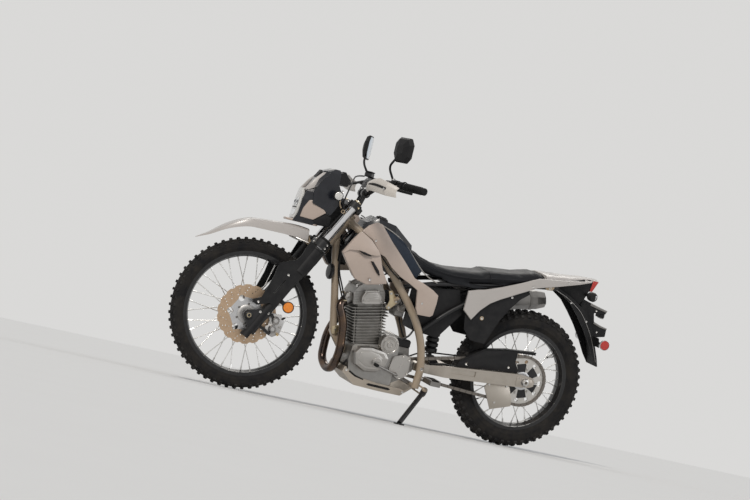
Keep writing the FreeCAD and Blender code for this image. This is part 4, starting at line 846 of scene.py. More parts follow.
@dataclass
class FrontDisc:
    """Petal brake disc: its rotor drilled in swirls, its carrier riveted to it."""
    face_y: float = -62.0
    petals: int = 18
    drill: float = 2.6
    carrier: float = 84.0
    swirl: Outline = ((95.0, 2.0), (106.0, 8.0), (118.0, 11.0))   # radius, lead in degrees

    def build(self) -> None:
        """Build the disc."""
        centre = FORK @ at(FRONT_AXLE[0], 0.0, FRONT_AXLE[1])
        spots = [at(0, 0, 0, 360.0 * (i + 0.5) / self.petals + lead - 9.0) @ facing((0, self.face_y + 10, reach))
                 for i in range(self.petals) for reach, lead in self.swirl]
        drill = bmesh.new()
        bmesh.ops.create_cone(drill, cap_ends=True, segments=10, radius1=self.drill, radius2=self.drill,
                              depth=40.0)
        piece = Piece("front_disc_rotor", Body.FRONT_WHEEL, centre)
        rotor = perforated(piece, "front_disc", Look.DISC, drill, spots)
        tint(rotor, Look.CARRIER, centre, lambda p: math.hypot(p.x, p.z) < self.carrier)
        rivets = Piece("front_disc_rivets", Body.FRONT_WHEEL, centre)
        ring = [at(0, 0, 0, 60.0 * i + 30.0) @ facing((0, self.face_y - 2.0, self.carrier))
                for i in range(6)]
        rivets.repeat(screw(7.0, 1.8, 16, 0.55), Look.BOLT, ring)
        ring = [at(0, 0, 0, 60.0 * i) @ facing((0, self.face_y - 2.0, 46.0)) for i in range(6)]
        rivets.repeat(screw(5.5, 4.0, 16, 0.5), Look.STEEL, ring)
        rivets.add(lathe([(30, -64), (40, -64.6), (42, -66.2), (35, -69), (30, -69)], 40), Look.HUB)
        rivets.done()


@dataclass
class Sprocket:
    """Rear sprocket: its plate with long windows, its bolts and its inner ring."""
    face_y: float = -75.0
    window_reach: float = 90.0
    window_half: float = 9.0
    window_turn: float = 5.0   # degrees to each side
    windows: int = 12
    dark: float = 66.0

    def build(self) -> None:
        """Build the sprocket."""
        centre = BIKE @ at(REAR_AXLE[0], 0.0, REAR_AXLE[1])
        window = []
        for end in (1.0, -1.0):
            middle, half = math.radians(end * self.window_turn), end * self.window_half
            for i in range(7):
                swing = math.radians(90.0 - 30.0 * i) * end + middle * end
                window.append((self.window_reach * math.cos(middle) + half * math.sin(swing),
                               self.window_reach * math.sin(middle) + half * math.cos(swing)))
        piece = Piece("rear_sprocket_plate", Body.REAR_WHEEL, centre)
        wheel = perforated(piece, "rear_sprocket", Look.SPROCKET,
                           plate(window, self.face_y - 12, self.face_y + 16, 0.0),
                           [at(0, 0, 0, 360.0 * i / self.windows) for i in range(self.windows)])
        tint(wheel, Look.BLACK_PAINT, centre, lambda p: math.hypot(p.x, p.z) < self.dark)
        piece = Piece("sprocket_bolts", Body.REAR_WHEEL, centre)
        ring = [at(0, 0, 0, 60.0 * i + 15.0) @ facing((0, self.face_y, 60.0)) for i in range(6)]
        piece.repeat(screw(8.5, 5.0, 6, 0.0), Look.BOLT, ring)
        piece.repeat(screw(5.0, 9.0, 12, 0.0), Look.BOLT, ring)
        piece.add(lathe([(30, -75.1), (40, -75.1), (42, -76.2), (40, -77.0), (32, -77.0)], 48), Look.CARRIER)
        piece.done()


# Front end
@dataclass
class Forks:
    """Chrome stanchions, seals, clamp bolts and guard screws of the fork."""
    leg_x: float = -29.0
    spread: float = 97.0
    sleeve: float = 18.7
    sleeve_runs: Outline = ((769.0, 771.8), (808.3, 1003.7))
    clamp_bolts: Sequence[float] = (781.0, 799.0, 1017.0)
    guard_ribs: Sequence[tuple[float, Outline]] = (
        (1.6, ((-12, 744), (-8, 652), (-13, 600), (-16, 600), (-13, 652), (-17, 744))),
        (1.2, ((-66, 744), (-62, 680), (-70, 655), (-112, 604), (-109, 598), (-64, 652), (-57, 680), (-61, 744))))
    axle: Flat = (-82.0, 339.8)

    def build(self) -> None:
        """Build the pieces of both legs."""
        chrome = Piece("stanchion_chrome", Body.FORK, LEGS)
        trim = Piece("fork_trim", Body.FORK, LEGS)
        for _, sign in SIDES:
            leg = at(self.leg_x, sign * self.spread, 0.0, 90.0, "X")
            for low, high in self.sleeve_runs:
                chrome.add(lathe([(self.sleeve, low), (self.sleeve, high)], 40), Look.CHROME, leg)
            trim.add(lathe([(18.8, 809), (23, 809), (23, 816), (21, 820), (18.8, 821)], 32), Look.RUBBER, leg)
            trim.add(lathe([(35, 755), (37, 757), (37, 765), (35, 768), (19, 769)], 32), Look.GUARD, leg)
            trim.add(lathe([(0, 1041), (15, 1041), (17, 1039), (17, 1036)], 24), Look.PLATED, leg)
            trim.add(screw(8, 3, 6, 0.0), Look.BOLT, facing((self.leg_x, sign * self.spread, 1040), (0, 0, 1)))
            for z in self.clamp_bolts:
                trim.screws([(self.leg_x - 33.5 + (4 if z > 1000 else 0), sign * (self.spread - 9), z)], 6.5, 5.0,
                            (-1, sign * 0.25, 0), Look.BOLT, 12)
                trim.screws([(self.leg_x + 12, sign * (self.spread + 30 - (4 if z > 1000 else 0)), z)], 5.5, 4.0,
                            (0.45, sign, 0), Look.PLATED if z > 1000 else Look.BOLT, 12)
            outer = self.spread + 28.5
            trim.side_screws(sign, [(-63, outer, 588), (-90, outer, 412)], 6.0, 3.0)
            trim.screws([(-20, sign * outer, 742)], 5.0, 2.5, (0, sign, 0), Look.STEEL, 12)
            for height, outline in self.guard_ribs:
                trim.add(plate(outline, sign * (outer - 1), sign * (outer + height), 0.6, 1), Look.GUARD)
        chrome.done(smooth=1.2)
        nut = at(self.axle[0], 0, self.axle[1])
        trim.add(lathe([(7.4, -127.5), (14, -127.5), (17, -126), (20, -122), (20, -118)], 6), Look.BLACK_PAINT, nut)
        trim.add(lathe([(6.8, -124), (7.2, -128.4), (9.6, -128.4), (10.6, -127)], 24), Look.PLATED, nut)
        trim.screws([(-52, -117.4, 384), (-20, -117.4, 402)], 7.0, 4.0, (0, -1, 0), Look.BOLT, 12)
        trim.done()


@dataclass
class FrontCaliper:
    """Two-piston caliper's caps, pins and bleeder, on its bracket."""
    centre: Point = (36.0, -62.0, 380.0)
    turn: float = -18.0
    half: float = 20.0
    pistons: Sequence[float] = (-20.0, 20.0)
    face: Outline = (
        (-26, -48), (16, -54), (42, -30), (44, 30), (20, 54), (-26, 46), (-30, 20), (-12, 0), (-30, -20))

    def build(self) -> None:
        """Build the trim."""
        place = LEGS @ at(*self.centre, self.turn)
        piece = Piece("front_caliper_trim", Body.FORK, place)
        outer = -self.half
        for z in self.pistons:
            cap = lathe([(0, outer - 14), (9, outer - 14), (10, outer - 12), (13, outer - 12), (17.5, outer - 8),
                         (19.5, outer - 2), (20, outer + 4)], 32)
            piece.add(cap, Look.HUB, at(4.0, 0.0, z))
            ring = [(10.5, outer - 11.4), (10.5, outer - 13.2), (13, outer - 13.2), (13, outer - 11.4)]
            piece.add(lathe(ring, 32, True), Look.STEEL, at(4.0, 0.0, z))
        piece.add(plate(self.face, outer + 6, outer - 2.5, 2.0), Look.HUB)
        piece.screws([(-20, outer - 2.5, -40), (-20, outer - 2.5, 38), (34, outer - 2.5, 0)], 6.0, 5.0)
        piece.screws([(30, outer - 2.5, 38)], 4.5, 14.0, (0.5, -0.6, 0.6), Look.RUBBER, 10, 0.0)
        piece.screws([(34, outer - 2.5, -34)], 7.5, 8.0, (0, -1, 0), Look.PLATED, 6, 0.35)
        piece.done()


@dataclass
class Fender:
    """High front fender: a ridged shell with a drooping beak, on its mount."""
    rows: Sequence[tuple[float, float, float, float]] = (
        (-1659, 622, 7, 2), (-1630, 641, 23, 7), (-1600, 661, 35, 12), (-1530, 716, 58, 24), (-1454, 757, 72, 38),
        (-1392, 767, 74, 44), (-1330, 772, 74, 48), (-1235, 778, 68, 54), (-1174, 774, 58, 60))
    # x, ridge z, half width, drop
    section: Outline = ((1.0, 1.0), (0.985, 0.55), (0.91, 0.20), (0.82, 0.10), (0.45, 0.03), (0.0, 0.0))
    # share of the half width, share of the drop
    steps: int = 4   # rows made of each gap
    wall: float = 3.5
    lip: float = 0.2
    mount: Outline = (
        (-1212, 772), (-1178, 770), (-1164, 744), (-1150, 714.6), (-1098, 688), (-1102, 680), (-1156, 704),
        (-1204, 730))

    def build(self) -> None:
        """Build the shell and its mount."""
        rings = []
        for x, z, half, drop in smoothed(self.rows, self.steps):
            top = [(-share * half, z - fall * drop) for share, fall in self.section]
            top += [(-y, height) for y, height in top[-2::-1]]
            inner = 1.0 - self.wall / max(half, 2.0 * self.wall)
            under = [(y * inner, max(height - self.wall, z - drop + self.lip)) for y, height in reversed(top)]
            rings.append([(x, y, height) for y, height in top + under])
        piece = Piece("front_fender_shell", Body.FORK, FORK)
        piece.add(loft(rings), Look.GREY)
        piece.done("front_fender", smooth=0.42)
        trim = Piece("front_fender_mount", Body.FORK, FORK)
        trim.add(plate(self.mount, -30, 30, 3.0), Look.TAN)
        for _, sign in SIDES:
            trim.add(rod([(-1236, sign * 60, 724), (-1205, sign * 74, 716), (-1172, sign * 80, 712)], 3.4), Look.BOLT)
            trim.screws([(-1232, sign * 62.5, 727), (-1186, sign * 55, 735)], 5.0, 2.5, (0, sign, 0.1))
        trim.done()


@dataclass
class Cowl:
    """Headlight cowl: its side panels, visor, chin lip and lamp."""
    cheek: Outline = ((-1236, 817), (-1231, 857), (-1213, 897), (-1173, 907), (-1128, 858), (-1178, 815))
    visor: Outline = (
        (-1243, 940), (-1212, 990), (-1176, 1032), (-1146, 1041), (-1134, 1004), (-1180, 970), (-1208, 944))
    shade: Outline = ((-1178, 812), (-1130, 856), (-1098, 846), (-1100, 800), (-1150, 796))
    lens: Outline = ((-47, -58), (47, -58), (58, 0), (56, 58), (40, 84), (-40, 84), (-56, 58), (-58, 0))
    seam: Line = ((-1222, 66, 944), (-1186, 79, 962), (-1140, 74, 1000), (-1132, 62, 1034))
    bulbs: Sequence[float] = (-25.0, 25.0)

    @staticmethod
    def cheek_half(x: float, z: float) -> float:
        """Half width over the cheek at an x and z: it narrows forward and down."""
        return 92 - max(0.0, -1192 - x) * 0.34 - max(0.0, 840 - z) * 0.18

    @staticmethod
    def visor_half(x: float, z: float) -> float:
        """Half width over the visor at an x and z: it narrows forward and up."""
        return 77 - max(0.0, z - 955) * 0.30 - max(0.0, -1190 - x) * 0.25

    def build(self) -> None:
        """Build the cowl's panels, lamp and lip."""
        panels = Piece("cowl_panels", Body.FORK, FORK)
        dark = Piece("cowl_trim", Body.FORK, FORK)
        for _, sign in SIDES:
            panels.add(plate(self.cheek, sign * 50, sign * 88, 3.0, 3, lambda x, z, s=sign: s * self.cheek_half(x, z)),
                       Look.SAND)
            panels.add(plate(self.visor, sign * 40, sign * 74, 3.0, 3, lambda x, z, s=sign: s * self.visor_half(x, z)),
                       Look.GREY)
            dark.add(plate(self.shade, sign * 60, sign * 84, 3.0), Look.BLACK_PLASTIC)
            dark.add(rod(mirrored(self.seam, sign), 2.2, 2), Look.BLACK_PLASTIC)
            dark.side_screws(sign, [(-1078, 93.4, 968)], 5.0, 2.2)
            dark.screws([(-1162, sign * 86, 838)], 4.0, 1.8, (0, sign, 0), Look.BLACK_PAINT, 12)
            dark.add(rod([(-1078, sign * 95, 935), (-1086, sign * 100, 915), (-1070, sign * 106, 895)], 3.0, 2),
                     Look.TAN)
        lip = plate([(-30, -1288), (30, -1288), (60, -1240), (74, -1150), (-74, -1150), (-60, -1240)], 0, 10, 3.0)
        panels.add(lip, Look.SAND, LYING @ at(0, 791, 0))
        slot = plate([(-34, -1204), (34, -1204), (30, -1164), (-30, -1164)], 0, 4, 1.0)
        tilt = at(-1186, 0, 1021, -62) @ at(1186, 0, 0)
        dark.add(slot, Look.BLACK_PLASTIC, tilt @ LYING)
        panels.done()
        dark.done()
        lamp = Piece("headlight_lamp", Body.FORK, FORK)
        lean = at(-1256, 0, 862, 6.0) @ at(0, 0, 0, -90, "Z")
        lamp.add(plate(self.lens, 14, 1.0, 3.0, 3), Glass.SIGNAL, lean)
        for x in self.bulbs:
            lamp.add(lathe([(0, -0.4), (14, -0.4), (18, -1.6), (19, -0.2)], 24), Look.REFLECTOR, lean @ at(x, 0, 18))
            lamp.add(lathe([(0, -1.2), (5, -3.0), (8, -1.0)], 16), Look.NAVY, lean @ at(x, 0, 18))
        lamp.add(plate([(-42, -10), (42, -10), (42, -5), (-42, -5)], 2, -0.6, 0.6, 1), Look.BLACK_PLASTIC, lean)
        lamp.add(plate([(-40, -44), (40, -44), (44, -18), (-44, -18)], 2, -0.2, 0.8, 1), Look.REFLECTOR, lean)
        lamp.done("headlight_lens")


@dataclass
class Meter:
    """Screen, rim and buttons of the meter."""
    bars: int = 9

    def build(self) -> None:
        """Build the meter's face."""
        slope = at(-1063.5, 0, 1039.5, 50.2) @ at(0, 0, 0, 90, "X")
        piece = Piece("meter_face", Body.FORK, FORK @ slope)
        piece.add(plate([(-20, -56), (20, -56), (22, 0), (20, 56), (-20, 56), (-22, 0)], 2, -1.6, 1.0),
                  Look.BLACK_PLASTIC)
        piece.add(plate([(-15, -40), (15, -40), (15, 40), (-15, 40)], 0, -2.2, 0.6, 1), Look.SCREEN)
        for z in (-49.0, 49.0):
            piece.add(lathe([(0, -4.0), (4.5, -4.0), (5.5, -3.0), (5.5, 0)], 16), Look.RUBBER, at(0, 0, z))
        for i in range(self.bars):
            low, short = i * 8 - 34, -2 - i % 3
            piece.add(plate([(-9, low), (short, low), (short, low + 4), (-9, low + 4)], 0, -2.4, 0.2, 1),
                      Look.REFLECTOR)
        piece.done()


@dataclass
class Bars:
    """Grips, switch boxes, reservoir, handguards and mirrors."""
    bend: Point = (-921.0, 180.0, 1054.0)
    end: Point = (-790.0, 400.0, 1046.0)
    bar_length: float = 256.2
    guard_rows: Sequence[tuple[float, float, float, float]] = (
        (225, -1000, 1000, 18), (262, -1010, 1020, 44), (296, -1000, 1026, 56), (330, -985, 1028, 66),
        (390, -955, 1020, 60), (415, -915, 1014, 46))   # y, front x, middle z, height
    guard_section: Line = (
        (0, -0.5, 0), (-8, -0.1, 0), (-6, 0.25, 0), (4, 0.5, 0), (10, 0.5, -2), (1, 0.2, 0), (0, -0.1, 0), (6, -0.5, 0))
    # x from the front, share of the height from the middle, further z
    brace: Line = ((-905, 212, 1052), (-950, 206, 1034), (-990, 232, 1014), (-1004, 262, 1014))
    dark_strip: Line = (
        (-1012, 250, 1020), (-1009, 275, 1025), (-1001, 310, 1029), (-984, 350, 1027), (-960, 392, 1020))
    mirror_outline: Outline = (
        (-58, -28), (-36, -50), (36, -50), (58, -20), (58, 28), (36, 50), (-36, 50), (-58, 26))

    def place(self, sign: float, reach: float) -> Matrix:
        """Place on one side's bar, with y along it outwards.

        Args:
            sign: -1 left, 1 right.
            reach: how far from the bar's bend.

        Returns:
            The matrix.
        """
        bend, end = (Vector(point) for point in mirrored((self.bend, self.end), sign))
        run = (end - bend).normalized()
        return along(bend + run * reach, run)

    def build(self) -> None:
        """Build what sits on the bars."""
        for side, sign in SIDES:
            grips = Piece(f"grip_{side}_trim", Body.FORK, FORK)
            ribs = [self.place(sign, self.bar_length - 126 + i * 9.5) for i in range(12)]
            grips.repeat(lathe([(16.4, -2.6), (17.9, -1.6), (17.9, 1.6), (16.4, 2.6)], 24), Look.RUBBER, ribs)
            grips.add(lathe([(16.4, 0), (21.5, 1), (21.5, 4), (16.4, 5)], 24), Look.RUBBER,
                      self.place(sign, self.bar_length - 134))
            grips.add(block((36, 30, 34), 5.0), Look.BLACK_PLASTIC, self.place(sign, 104))
            grips.add(block((8, 9, 8), 1.5), Look.RUBBER, self.place(sign, 104) @ at(20, 0, 8))
            grips.add(block((8, 6, 10), 1.5), Look.GREY, self.place(sign, 104) @ at(20, -8, -8))
            grips.add(lathe([(12, 0), (17.5, 1), (17.5, 15), (12, 16)], 24), Look.BLACK_PAINT, self.place(sign, 124))
            grips.screws([(x, sign * 33, 1006.5) for x in (-973, -951)], 5.0, 4.0, (0, 0, 1), Look.BOLT, 12)
            grips.add(rod([(-900, sign * 236, 1046), (-900, sign * 236, 1075)], 8.5, 2), Look.BLACK_PAINT)
            grips.add(screw(9.5, 8, 6, 0.0), Look.BOLT, facing((-901, sign * 236.4, 1070), (0, 0, 1)))
            grips.done()
            self.mirror(side, sign)
            self.guard(side, sign)
        tank = Piece("brake_reservoir", Body.FORK, FORK)
        tank.add(block((34, 46, 22), 4.0), Look.BLACK_PAINT, self.place(1.0, 62) @ at(-16, 0, 26))
        tank.add(block((36, 48, 5), 1.6), Look.BLACK_PLASTIC, self.place(1.0, 62) @ at(-16, 0, 39.5))
        tank.done()

    def mirror(self, side: str, sign: float) -> None:
        """Build one mirror's glass.

        Args:
            side: left or right.
            sign: -1 left, 1 right.
        """
        head = FORK @ at(-913, sign * 353, 1202, -sign * 21.0, "Z")
        glass = Piece(f"mirror_glass_{side}", Body.FORK, head @ at(0, 0, 0, 90, "Z"))
        glass.add(plate(self.mirror_outline, -6.0, -8.8, 1.0), Look.MIRROR)
        glass.done()

    def guard(self, side: str, sign: float) -> None:
        """Build one handguard's shell.

        Args:
            side: left or right.
            sign: -1 left, 1 right.
        """
        rings = []
        for y, x, z, height in self.guard_rows:
            rings.append([(x + ahead, sign * y, z + share * height + below)
                          for ahead, share, below in self.guard_section])
        work = loft(rings)
        soften(work, work.edges[:], 1.6)
        shell = Piece(f"handguard_{side}", Body.FORK, FORK)
        shell.add(work, Look.WHITE)
        shell.add(rod(mirrored(self.brace, sign), 6.0), Look.BLACK_PAINT)
        shell.add(rod(mirrored(self.dark_strip, sign), 5.5), Look.BLACK_PLASTIC)
        shell.screws([(-1012, sign * 266, 1020), (-968, sign * 388, 1018)], 5.0, 2.5, (-0.9, sign * 0.4, 0),
                     Look.BOLT, 12)
        shell.done(*(("handguards",) if sign < 0 else ()))


@dataclass
class FrontLamps:
    """Front turn signals and the amber side reflectors."""
    lamp: Point = (-1105.0, 150.0, 944.0)
    body: Outline = ((19, 12), (21.5, 3), (21.5, -8), (18, -15), (9, -18), (0, -18))   # radius, outwards
    lens: Outline = ((0, 17.8), (11, 16.6), (17.5, 12.5), (20.3, 5))
    rim: Outline = ((20.4, 3.0), (21.9, 3.0), (21.9, 6.4), (20.4, 6.4))

    def build(self) -> None:
        """Build the lamps."""
        piece = Piece("front_signals", Body.FORK, FORK)
        x, y, z = self.lamp
        for _, sign in SIDES:
            place = at(x, sign * y, z)
            body, lens, rim = ([(radius, sign * out) for radius, out in profile]
                               for profile in (self.body, self.lens, self.rim))
            piece.add(lathe(body, 32), Look.BLACK_PLASTIC, place)
            piece.add(lathe(lens, 32), Glass.SIGNAL, place)
            piece.add(lathe(rim, 32, True), Look.BLACK_PLASTIC, place)
            piece.add(rod([(-1096, sign * 90, 934), (-1100, sign * 112, 938), (-1103, sign * 134, 942)], 8.0), Look.TAN)
        piece.add(lathe([(0, -8.6), (10, -8.3), (21.5, -7.2), (23, -5)], 36), Glass.AMBER,
                  LEGS_IN_FORK @ at(36, -95, 480))
        piece.add(lathe([(23, -4), (23.4, -7.4), (26, -7.0), (26, 0), (0, 0)], 36), Look.BLACK_PLASTIC,
                  LEGS_IN_FORK @ at(36, -95, 480))
        piece.add(plate([(0, -10), (36, -10), (36, 10), (0, 10)], -101, -97, 1.0), Look.BLACK_PAINT,
                  LEGS_IN_FORK @ at(-6, 0, 480))
        piece.done("front_lamps")


# Bodywork
@dataclass
class Shrouds:
    """Side shrouds: the upper strip along the tank and the lower panel, with seams, slots and screws."""
    upper: Outline = (
        (-992, 831), (-966, 862), (-932, 884), (-904, 881), (-832, 808), (-760, 746), (-690, 680), (-645, 668),
        (-592, 648), (-558, 628), (-556, 590), (-560, 536), (-572, 526), (-632, 524), (-646, 548), (-655, 592),
        (-662, 630), (-704, 650), (-759, 672), (-812, 704), (-853, 742), (-884, 752), (-899, 771), (-938, 807))
    lower: Outline = (
        (-1066, 722), (-1034, 783), (-1004, 828), (-992, 829), (-941, 803), (-902, 768), (-888, 748), (-862, 690),
        (-826, 642), (-820, 628), (-858, 618), (-917, 605), (-979, 620), (-1029, 674))
    crease: Outline = (
        (-1064, 722), (-1034, 782), (-1004, 826), (-992, 827), (-943, 801), (-905, 766), (-892, 748), (-905, 742),
        (-936, 740), (-990, 748), (-1040, 742))
    backing: Outline = (
        (-896, 770), (-850, 728), (-806, 692), (-757, 662), (-757, 656), (-812, 690), (-858, 730), (-896, 764))
    lining: Outline = ((-1060, 722), (-1000, 820), (-960, 800), (-900, 640), (-978, 626))
    gill: Outline = ((-998, 747), (-968, 746), (-930, 737), (-934, 733), (-968, 735))
    slot: Outline = ((-926, 712), (-915, 713), (-880, 680), (-870, 662), (-874, 658), (-890, 670))
    pegs: Outline = ((-880, 780), (-770, 742))

    @staticmethod
    def upper_half(z: float) -> float:
        """Half width over the upper shroud: it narrows towards its top."""
        return 178 - max(0.0, z - 840) * 0.25

    @staticmethod
    def lower_half(x: float, z: float) -> float:
        """Half width over the lower shroud: it narrows up, down and rearward."""
        return 206 - max(0.0, z - 742) * 0.20 - max(0.0, 640 - z) * 0.22 - max(0.0, x + 880) * 0.16

    @staticmethod
    def crease_half(z: float) -> float:
        """Half width over the raised part of the lower shroud."""
        return 207.6 - max(0.0, z - 742) * 0.20

    def build(self) -> None:
        """Build the shrouds of both sides."""
        for side, sign in SIDES:
            top = Piece(f"upper_shroud_{side}", Body.FRAME, BIKE)
            top.add(plate(self.upper, sign * 164.5, sign * 178, 3.5, 3, lambda x, z, s=sign: s * self.upper_half(z)),
                    Look.SAND)
            top.side_screws(sign, [(-919, 177.2, 805), (-626, 178, 578)], 5.5, 2.5)
            top.add(plate(self.backing, sign * 160, sign * 170, 1.0), Look.BLACK_PLASTIC)
            for x, z in self.pegs:
                top.add(lathe([(9, sign * 110), (9, sign * 166)], 20), Look.BLACK_PLASTIC, at(x, 0, z))
            top.done()
            low = Piece(f"lower_shroud_{side}", Body.FRAME, BIKE)
            low.add(plate(self.lower, sign * 179, sign * 205, 5.0, 3, lambda x, z, s=sign: s * self.lower_half(x, z)),
                    Look.SAND)
            low.add(plate(self.crease, sign * 190, sign * 207.5, 3.0, 3, lambda x, z, s=sign: s * self.crease_half(z)),
                    Look.SAND)
            low.add(plate(self.gill, sign * 200, sign * 208.2, 0.8), Look.BLACK_PLASTIC)
            low.add(plate(self.slot, sign * 196, sign * 206.6, 0.8), Look.BLACK_PLASTIC)
            low.side_screws(sign, [(-911, 205.6, 632)], 6.5, 2.5)
            low.add(plate(self.lining, sign * 150, sign * 182, 4.0), Look.BLACK_PLASTIC)
            low.done()
        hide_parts("upper_shrouds")
        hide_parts("lower_shrouds")


@dataclass
class Tank:
    """Knee panels with their piping, and the filler cap, on the tank cover."""
    panel: Outline = (
        (-912, 872), (-868, 868), (-803, 848), (-754, 818), (-717, 784), (-672, 738), (-640, 712), (-662, 676),
        (-700, 690), (-752, 740), (-826, 806), (-890, 850))
    piping: Line = (
        (-905, 108, 880), (-866, 116, 868), (-803, 118, 846), (-752, 116, 814), (-718, 112, 786), (-665, 108, 738),
        (-625, 106, 706), (-589, 106, 688), (-548, 104, 676))

    @staticmethod
    def panel_half(x: float, z: float) -> float:
        """Half width over the knee panel: it narrows up and rearward."""
        return 152 - max(0.0, z - 745) * 0.33 - max(0.0, x + 760) * 0.28

    def build(self) -> None:
        """Build the knee panels with their piping, and the filler cap."""
        for side, sign in SIDES:
            panel = Piece(f"knee_panel_{side}", Body.FRAME, BIKE)
            panel.add(plate(self.panel, sign * 70, sign * 120, 6.0, 3, lambda x, z, s=sign: s * self.panel_half(x, z)),
                      Look.KNEE)
            panel.add(rod(mirrored(self.piping, sign), 2.6, 2), Look.SEAM)
            panel.done()
        cap = Piece("filler_cap", Body.FRAME, BIKE)
        tilt = at(-846, 0, 889, 8) @ at(0, 0, 0, 90, "X")
        cap.add(lathe([(0, 10), (22, 10), (26, 8), (29, 4), (30, -2), (34, -3), (34, -6)], 40), Look.BLACK_PLASTIC,
                tilt)
        cap.add(block((38, 5, 9), 1.5), Look.BLACK_PLASTIC, tilt @ at(0, 11, 0))
        cap.done()


@dataclass
class Seat:
    """Long seat: a padded pad with its cover, cross seam and piping."""
    cap: float = 0.006
    voxel: float = 0.006
    pressure: float = 4.0
    frames: int = 20
    softenings: int = 3
    edge: Line = (
        (-836, 61, 872), (-768, 83, 824), (-690, 90, 776), (-600, 96, 740), (-520, 101, 727), (-440, 104.5, 727),
        (-368, 108, 734), (-300, 110, 752), (-220, 109, 764), (-144, 106.5, 776), (-70, 98.5, 793), (-24, 91, 800))
    seam: Line = ((-296, 112, 745), (-300, 98, 772), (-302, 60, 779))
    rear_seam: Line = ((-24, 93, 797), (-26, 86, 813), (-26, 55, 820.5))

    def build(self) -> None:
        """Build the pad and its trim."""
        data = bpy.data.meshes.new("seat_pad")
        work = copy_of("seat")
        work.to_mesh(data)
        work.free()
        pad = bpy.data.objects.new("seat_pad", data)
        bpy.context.scene.collection.objects.link(pad)
        remesh = pad.modifiers.new("remesh", "REMESH")
        remesh.mode, remesh.voxel_size = "VOXEL", self.voxel
        applied(pad)
        self.swell(pad)
        work = bmesh.new()
        work.from_mesh(pad.data)
        for _ in range(self.softenings):
            bmesh.ops.smooth_vert(work, verts=work.verts, factor=0.5, use_axis_x=True, use_axis_y=True, use_axis_z=True)
        for face in work.faces:
            face.smooth = True
        work.to_mesh(pad.data)
        work.free()
        pad.data.materials.clear()
        pad.data.materials.append(material(Look.SEAT))
        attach(pad, Body.FRAME.value)
        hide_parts("seat")
        trim = Piece("seat_piping", Body.FRAME, BIKE)
        for _, sign in SIDES:
            trim.add(rod(mirrored(self.edge, sign), 2.0, 2), Look.SEAT)
        for half, radius, skin in ((self.seam, 1.8, Look.SEAT), (self.rear_seam, 2.6, Look.SEAM)):
            trim.add(rod([(x, -y, z) for x, y, z in half] + list(half[::-1]), radius, 2), skin)
        trim.done()

    def swell(self, pad: bpy.types.Object) -> None:
        """Swell the pad by a short cloth simulation, no point further than the cap.

        Args:
            pad: the pad.
        """
        rest = [v.co.copy() for v in pad.data.vertices]
        cloth = pad.modifiers.new("cover", "CLOTH")
        cloth.settings.use_pressure, cloth.settings.uniform_pressure_force = True, self.pressure
        cloth.settings.effector_weights.gravity = 0.0
        scene = bpy.context.scene
        for step in range(1, self.frames + 1):
            scene.frame_set(step)
        applied(pad)
        scene.frame_set(1)
        for vert, start in zip(pad.data.vertices, rest):
            move = vert.co - start
            if move.length > self.cap:
                vert.co = start + move.normalized() * self.cap


